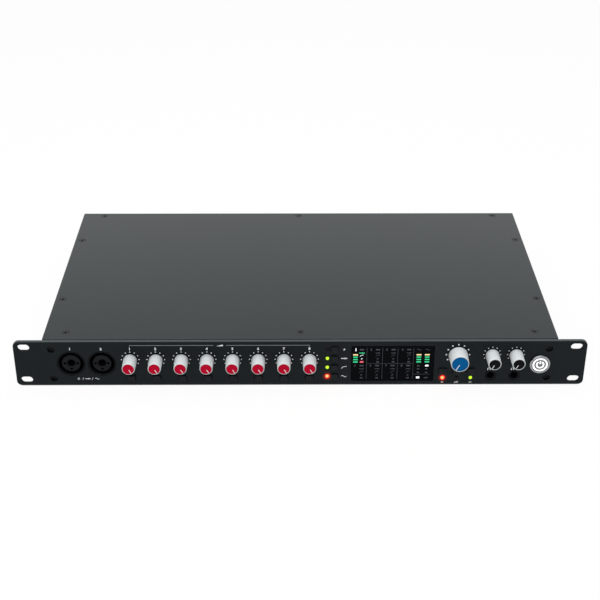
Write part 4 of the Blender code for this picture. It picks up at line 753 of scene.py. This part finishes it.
def make_marks():
    """White print on the panel: dial dots, channel numbers, brackets and plain signs."""
    ring = {"Dot Radius": 0.5 * MM, "Thickness": 2 * INK, "Count": 11, "Start": math.radians(-60),
            "Sweep": math.radians(300)}
    grown("gain_dots", DIAL_DOTS, [(*place, 0) for place in GAINS], {**ring, "Ring Radius": 7.4 * MM}, ink)
    grown("monitor_dots", DIAL_DOTS, [(*MONITOR, 0)], {**ring, "Ring Radius": 9.8 * MM, "Dot Radius": 0.68 * MM}, ink)
    grown("phones_dots", DIAL_DOTS, [(*place, 0) for place in PHONES],
          {**ring, "Ring Radius": 7.15 * MM, "Dot Radius": 0.46 * MM}, ink)
    marks = bmesh.new()
    for i, (x, z) in enumerate(GAINS, 1):
        numeral(marks, str(i), x / MM, 36.9, 2.3)
    for i, (x, z) in enumerate(INPUTS, 1):
        numeral(marks, str(i), x / MM, 36.9, 2.3)
    for name, x in (("ring", -188.5), ("slash", -184.8), ("plug", -180.8), ("slash", -176.8), ("wave", -172.8)):
        sign(marks, name, x, 7.3, 1.9)
    sign(marks, "ramp", -67.9, 40.2, 1.9)
    for name, (x, z) in zip(("bolt", "plug", "slope", "wave"), MODES):
        sign(marks, name, 36.8, z / MM, 2.3)
    for name, (x, z) in zip(("cross", "swap", "voice"), MONITORS):
        sign(marks, name, x / MM, 3.1, 1.7)
    for x, z in PHONES:
        sign(marks, "phones", x / MM - 1.7, 16.4, 2.0)
    piece("panel_print", marks, [ink])
    bracket = bmesh.new()
    for ends in (((-143.5, 39.0), (-143.5, 40.2), (-73.2, 40.2)), ((-62.6, 40.2), (7.5, 40.2), (7.5, 39.0))):
        for start, end in zip(ends, ends[1:]):
            prism(bracket, stroke([(x * MM, z * MM) for x, z in (start, end)], 0.45 * MM), -INK, INK)
    piece("panel_brackets", bracket, [faint_ink])


def make_display():
    """The smoked lens, its lit segments and the legends that stay dark."""
    lens = bmesh.new()
    plate(lens, box_outline(LENS, LENS_FACE, 0.8 * MM), [], -0.1 * MM, -2.4 * MM, 0.2 * MM)
    piece("display_lens", lens, [smoked], nodes=["display_window"], crease=12)
    face = -0.1 * MM + INK / 2
    dark, lit = bmesh.new(), bmesh.new()
    rules = [((x, 6.2), (x, 37.2)) for x in (55.9, 69.2, 82.0, 95.3)]
    rules += [((55.9, 21.8), (95.3, 21.8)), ((96.3, 11), (109.6, 11))]
    for ends in rules:
        prism(dark, stroke([(x * MM, z * MM) for x, z in ends], 0.28 * MM), face - INK, face + INK / 2)
    legends = ("block", "plug", "slope", "turned", "small_block")
    for row, heights in enumerate(((35.6, 32.3, 29.6, 26.6, 23.5), (19.8, 16.6, 13.5, 10.5, 7.5))):
        for column in range(4):
            x = 51.7 + 13.15 * column + (0 if row else 0.3 * (column > 0))
            lit_cell = row == 0 and column == 0
            if not lit_cell:
                numeral(dark, str(1 + column + 4 * row), x - 5.6, heights[0], 1.9, face)
            for name, z in zip(legends, heights):
                if not lit_cell or name == "block":
                    sign(dark, name, x, z, 1.75, face)
    for name, x, z in (("small_block", 99.8, 19.6), ("small_block", 99.8, 16.4), ("small_block", 106.8, 16.4),
                       ("small_block", 99.8, 12.8), ("small_block", 106.8, 12.8), ("block", 106.6, 7.6)):
        sign(dark, name, x, z, 1.6, face)
    for x in (99.9, 107.0):
        sign(dark, "wave", x, 35.5, 1.9, face)
    piece("display_legends", dark, [unlit])
    numeral(lit, "1", 46.6, 35.6, 2.3, face, 0.1)
    sign(lit, "slope", 51.7, 29.6, 1.6, face)
    sign(lit, "turned", 51.7, 26.6, 1.2, face)
    for place, size, radius in (((107, 19.7), (3.0, 1.7), 0.8), ((99.8, 7.8), (2.8, 1.9), 0.3)):
        prism(lit, box_outline([p * MM for p in place], [s * MM for s in size], radius * MM), face - INK, face + INK)
    piece("display_lit_white", lit, [segment_white])
    green, red = bmesh.new(), bmesh.new()
    sign(green, "plug", 51.7, 32.3, 2.1, face)
    piece("display_lit_green", green, [segment_green])
    sign(red, "small_block", 51.7, 23.5, 2.3, face)
    piece("display_lit_red", red, [segment_red])
    bars = {"Bar Width": 3.8 * MM, "Bar Height": 1.2 * MM, "Thickness": 2 * INK, "Pitch": 2.4 * MM}
    stacks = [(x * MM, 23.4 * MM, face) for x in (46.4, 99.9, 106.9)]
    grown("meter_green", METER_BARS, stacks, {**bars, "Count": 3}, segment_green)
    grown("meter_amber", METER_BARS, [(x, z + 7.1 * MM, y) for x, z, y in stacks],
          {**bars, "Bar Width": 4.1 * MM, "Count": 1}, segment_amber)


# The back.

def make_back():
    """Finer connectors over those of the frame, with their contacts, screws and numbers."""
    shells, contacts = bmesh.new(), bmesh.new()
    for place in BACK_INPUTS:
        one = socket_shell(place, 0.9 * MM)
        mesh = bpy.data.meshes.new("shell")
        one.to_mesh(mesh)
        one.free()
        shells.from_mesh(mesh)
    piece("back_input_shells", shells, [nylon, gold], nodes=["back_inputs"], stand=TO_BACK)
    jacks = bmesh.new()
    for place in BACK_OUTPUTS:
        lathe(jacks, [(0, -15 * MM), (6.5 * MM, -15 * MM), (6.5 * MM, -SHEET - 0.3 * MM),
                      (5.5 * MM, -SHEET - 0.3 * MM), (5.5 * MM, 1.5 * MM), (5.2 * MM, 1.8 * MM), (4.0 * MM, 1.8 * MM),
                      (3.3 * MM, 1.1 * MM), (3.3 * MM, -12 * MM), (0, -12 * MM)], place, 48)
        lathe(contacts, [(3.29 * MM, 0.6 * MM), (3.29 * MM, -6 * MM), (2.95 * MM, -5.5 * MM), (2.95 * MM, 0.3 * MM)],
              place, 40, closed=True)
    piece("back_output_jacks", jacks, [nylon], nodes=["back_outputs"], stand=TO_BACK)
    piece("back_jack_sleeves", contacts, [nickel], stand=TO_BACK)
    grown("inlet_screws", SCREW_HEADS, [(MAINS[0] + side * 20 * MM, MAINS[1], 2.35 * MM) for side in (-1, 1)],
          {"Head Radius": 2.6 * MM, "Neck Radius": 1.5 * MM, "Head Height": 1.5 * MM, "Recess Radius": 1.1 * MM,
           "Seed": 8}, black_steel, stand=TO_BACK)
    marks = bmesh.new()
    for i, (x, z) in enumerate(BACK_INPUTS):
        numeral(marks, str(i + 3), x / MM, 37.6, 2.2)
    for i, (x, z) in enumerate(BACK_OUTPUTS):
        numeral(marks, str(i + 1), x / MM + 7.6, z / MM + 4.6, 1.8)
    piece("back_print", marks, [ink], stand=TO_BACK)


# What stays from the frame and is only repainted.
for node, paint in (("front_rail", zinc), ("main_board", laminate), ("control_board", laminate),
                    ("power_supply", housing), ("display_module", laminate), ("optical_ports", nylon),
                    ("usb_port", zinc), ("mains_inlet", black_abs)):
    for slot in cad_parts[node].material_slots:
        slot.material = paint

make_case()
make_controls()
make_sockets()
make_marks()
make_display()
make_back()


# The studio: a pale floor, a white room, soft lamps and the camera.

def mirrored(tree, plain, bright, share):
    """Mixes a lit surface with a bright one, which takes the given share where it is seen or mirrored."""
    path = add(tree, "ShaderNodeLightPath").outputs
    seen = path["Is Camera Ray"]
    for ray in ("Is Glossy Ray", "Is Transmission Ray"):
        seen = add(tree, "ShaderNodeMath", {0: seen, 1: path[ray]}, operation="MAXIMUM").outputs[0]
    part = add(tree, "ShaderNodeMath", {0: seen, 1: share}, operation="MULTIPLY").outputs[0]
    return add(tree, "ShaderNodeMixShader", {0: part, 1: plain.outputs[0], 2: bright.outputs[0]}).outputs[0]


def make_floor():
    """A white paper floor that keeps a faint shadow."""
    ground = bpy.data.meshes.new("floor")
    reach = 6.0
    ground.from_pydata([(-reach, -reach, 0), (reach, -reach, 0), (reach, reach, 0), (-reach, reach, 0)], [],
                       [(0, 1, 2, 3)])
    floor = bpy.data.objects.new("floor", ground)
    floor.location.z = PANEL_LOW.z - 0.2 * MM
    bpy.context.scene.collection.objects.link(floor)
    paper = bpy.data.materials.new("white_paper")
    paper.use_nodes = True
    tree = paper.node_tree
    plain = tree.nodes["Principled BSDF"]
    plain.inputs["Base Color"].default_value = to_linear("f2f2f0")
    plain.inputs["Roughness"].default_value = 0.9
    bright = add(tree, "ShaderNodeEmission", {"Color": to_linear("ffffff"), "Strength": 1.0})
    tree.links.new(mirrored(tree, plain, bright, 0.94), tree.nodes["Material Output"].inputs["Surface"])
    ground.materials.append(paper)


def make_world(ambient):
    """A room that lights the object by ambient and is white where it is seen, and less so high up, where mirrored."""
    world = bpy.data.worlds.new("white_room")
    world.use_nodes = True
    bpy.context.scene.world = world
    tree = world.node_tree
    plain = tree.nodes["Background"]
    plain.inputs["Color"].default_value = to_linear("ffffff")
    plain.inputs["Strength"].default_value = ambient
    way = add(tree, "ShaderNodeTexCoord").outputs["Generated"]
    height = add(tree, "ShaderNodeSeparateXYZ", {"Vector": way}).outputs["Z"]
    dim = add(tree, "ShaderNodeMapRange", {"Value": height, "From Min": 0.40, "From Max": 0.54, "To Min": 1.0,
                                           "To Max": 0.6}, interpolation_type="SMOOTHSTEP")
    bright = add(tree, "ShaderNodeBackground", {"Color": to_linear("ffffff"), "Strength": dim.outputs[0]})
    tree.links.new(mirrored(tree, plain, bright, 1.0), tree.nodes["World Output"].inputs["Surface"])


def make_lamp(name, place, aim, size, watts):
    """One soft lamp that faces a point."""
    lamp = bpy.data.lights.new(name, "AREA")
    lamp.shape, lamp.size, lamp.size_y, lamp.energy = "RECTANGLE", size[0], size[1], watts
    holder = bpy.data.objects.new(name, lamp)
    holder.location = place
    holder.rotation_euler = (Vector(aim) - Vector(place)).to_track_quat("-Z", "Y").to_euler()
    bpy.context.scene.collection.objects.link(holder)


def make_camera():
    """The camera of the photograph, from the panel's corners and screws: place, aim and focal length."""
    pitch, yaw, roll = 0.512217, 0.0080226, 0.0020764
    right = Vector((math.cos(yaw), -math.sin(yaw), 0))
    ahead = Vector((math.sin(yaw) * math.cos(pitch), math.cos(yaw) * math.cos(pitch), -math.sin(pitch)))
    up = right.cross(ahead)
    right, up = (math.cos(roll) * right + math.sin(roll) * up, math.cos(roll) * up - math.sin(roll) * right)
    lens = bpy.data.cameras.new("camera")
    focal_pixels, image_pixels = 1226.686, 600
    lens.sensor_width = 36.0
    lens.lens = focal_pixels / image_pixels * lens.sensor_width
    lens.clip_start, lens.clip_end = 0.05, 50
    holder = bpy.data.objects.new("camera", lens)
    holder.matrix_world = Matrix.Translation((-0.00758, FACE_Y - 0.877816, 0.577271)) @ Matrix(
        (right, up, -ahead)).transposed().to_4x4()
    bpy.context.scene.collection.objects.link(holder)
    bpy.context.scene.camera = holder


bpy.context.scene.view_settings.view_transform = "Standard"
make_floor()
make_world(0.5)
make_lamp("lamp_over", (0.0, 0.05, 1.3), (0, 0, 0), (1.6, 1.0), 12)
make_lamp("lamp_front", (-0.5, -1.5, 1.0), (0, -0.1, 0.02), (2.6, 1.5), 8.5)
make_camera()
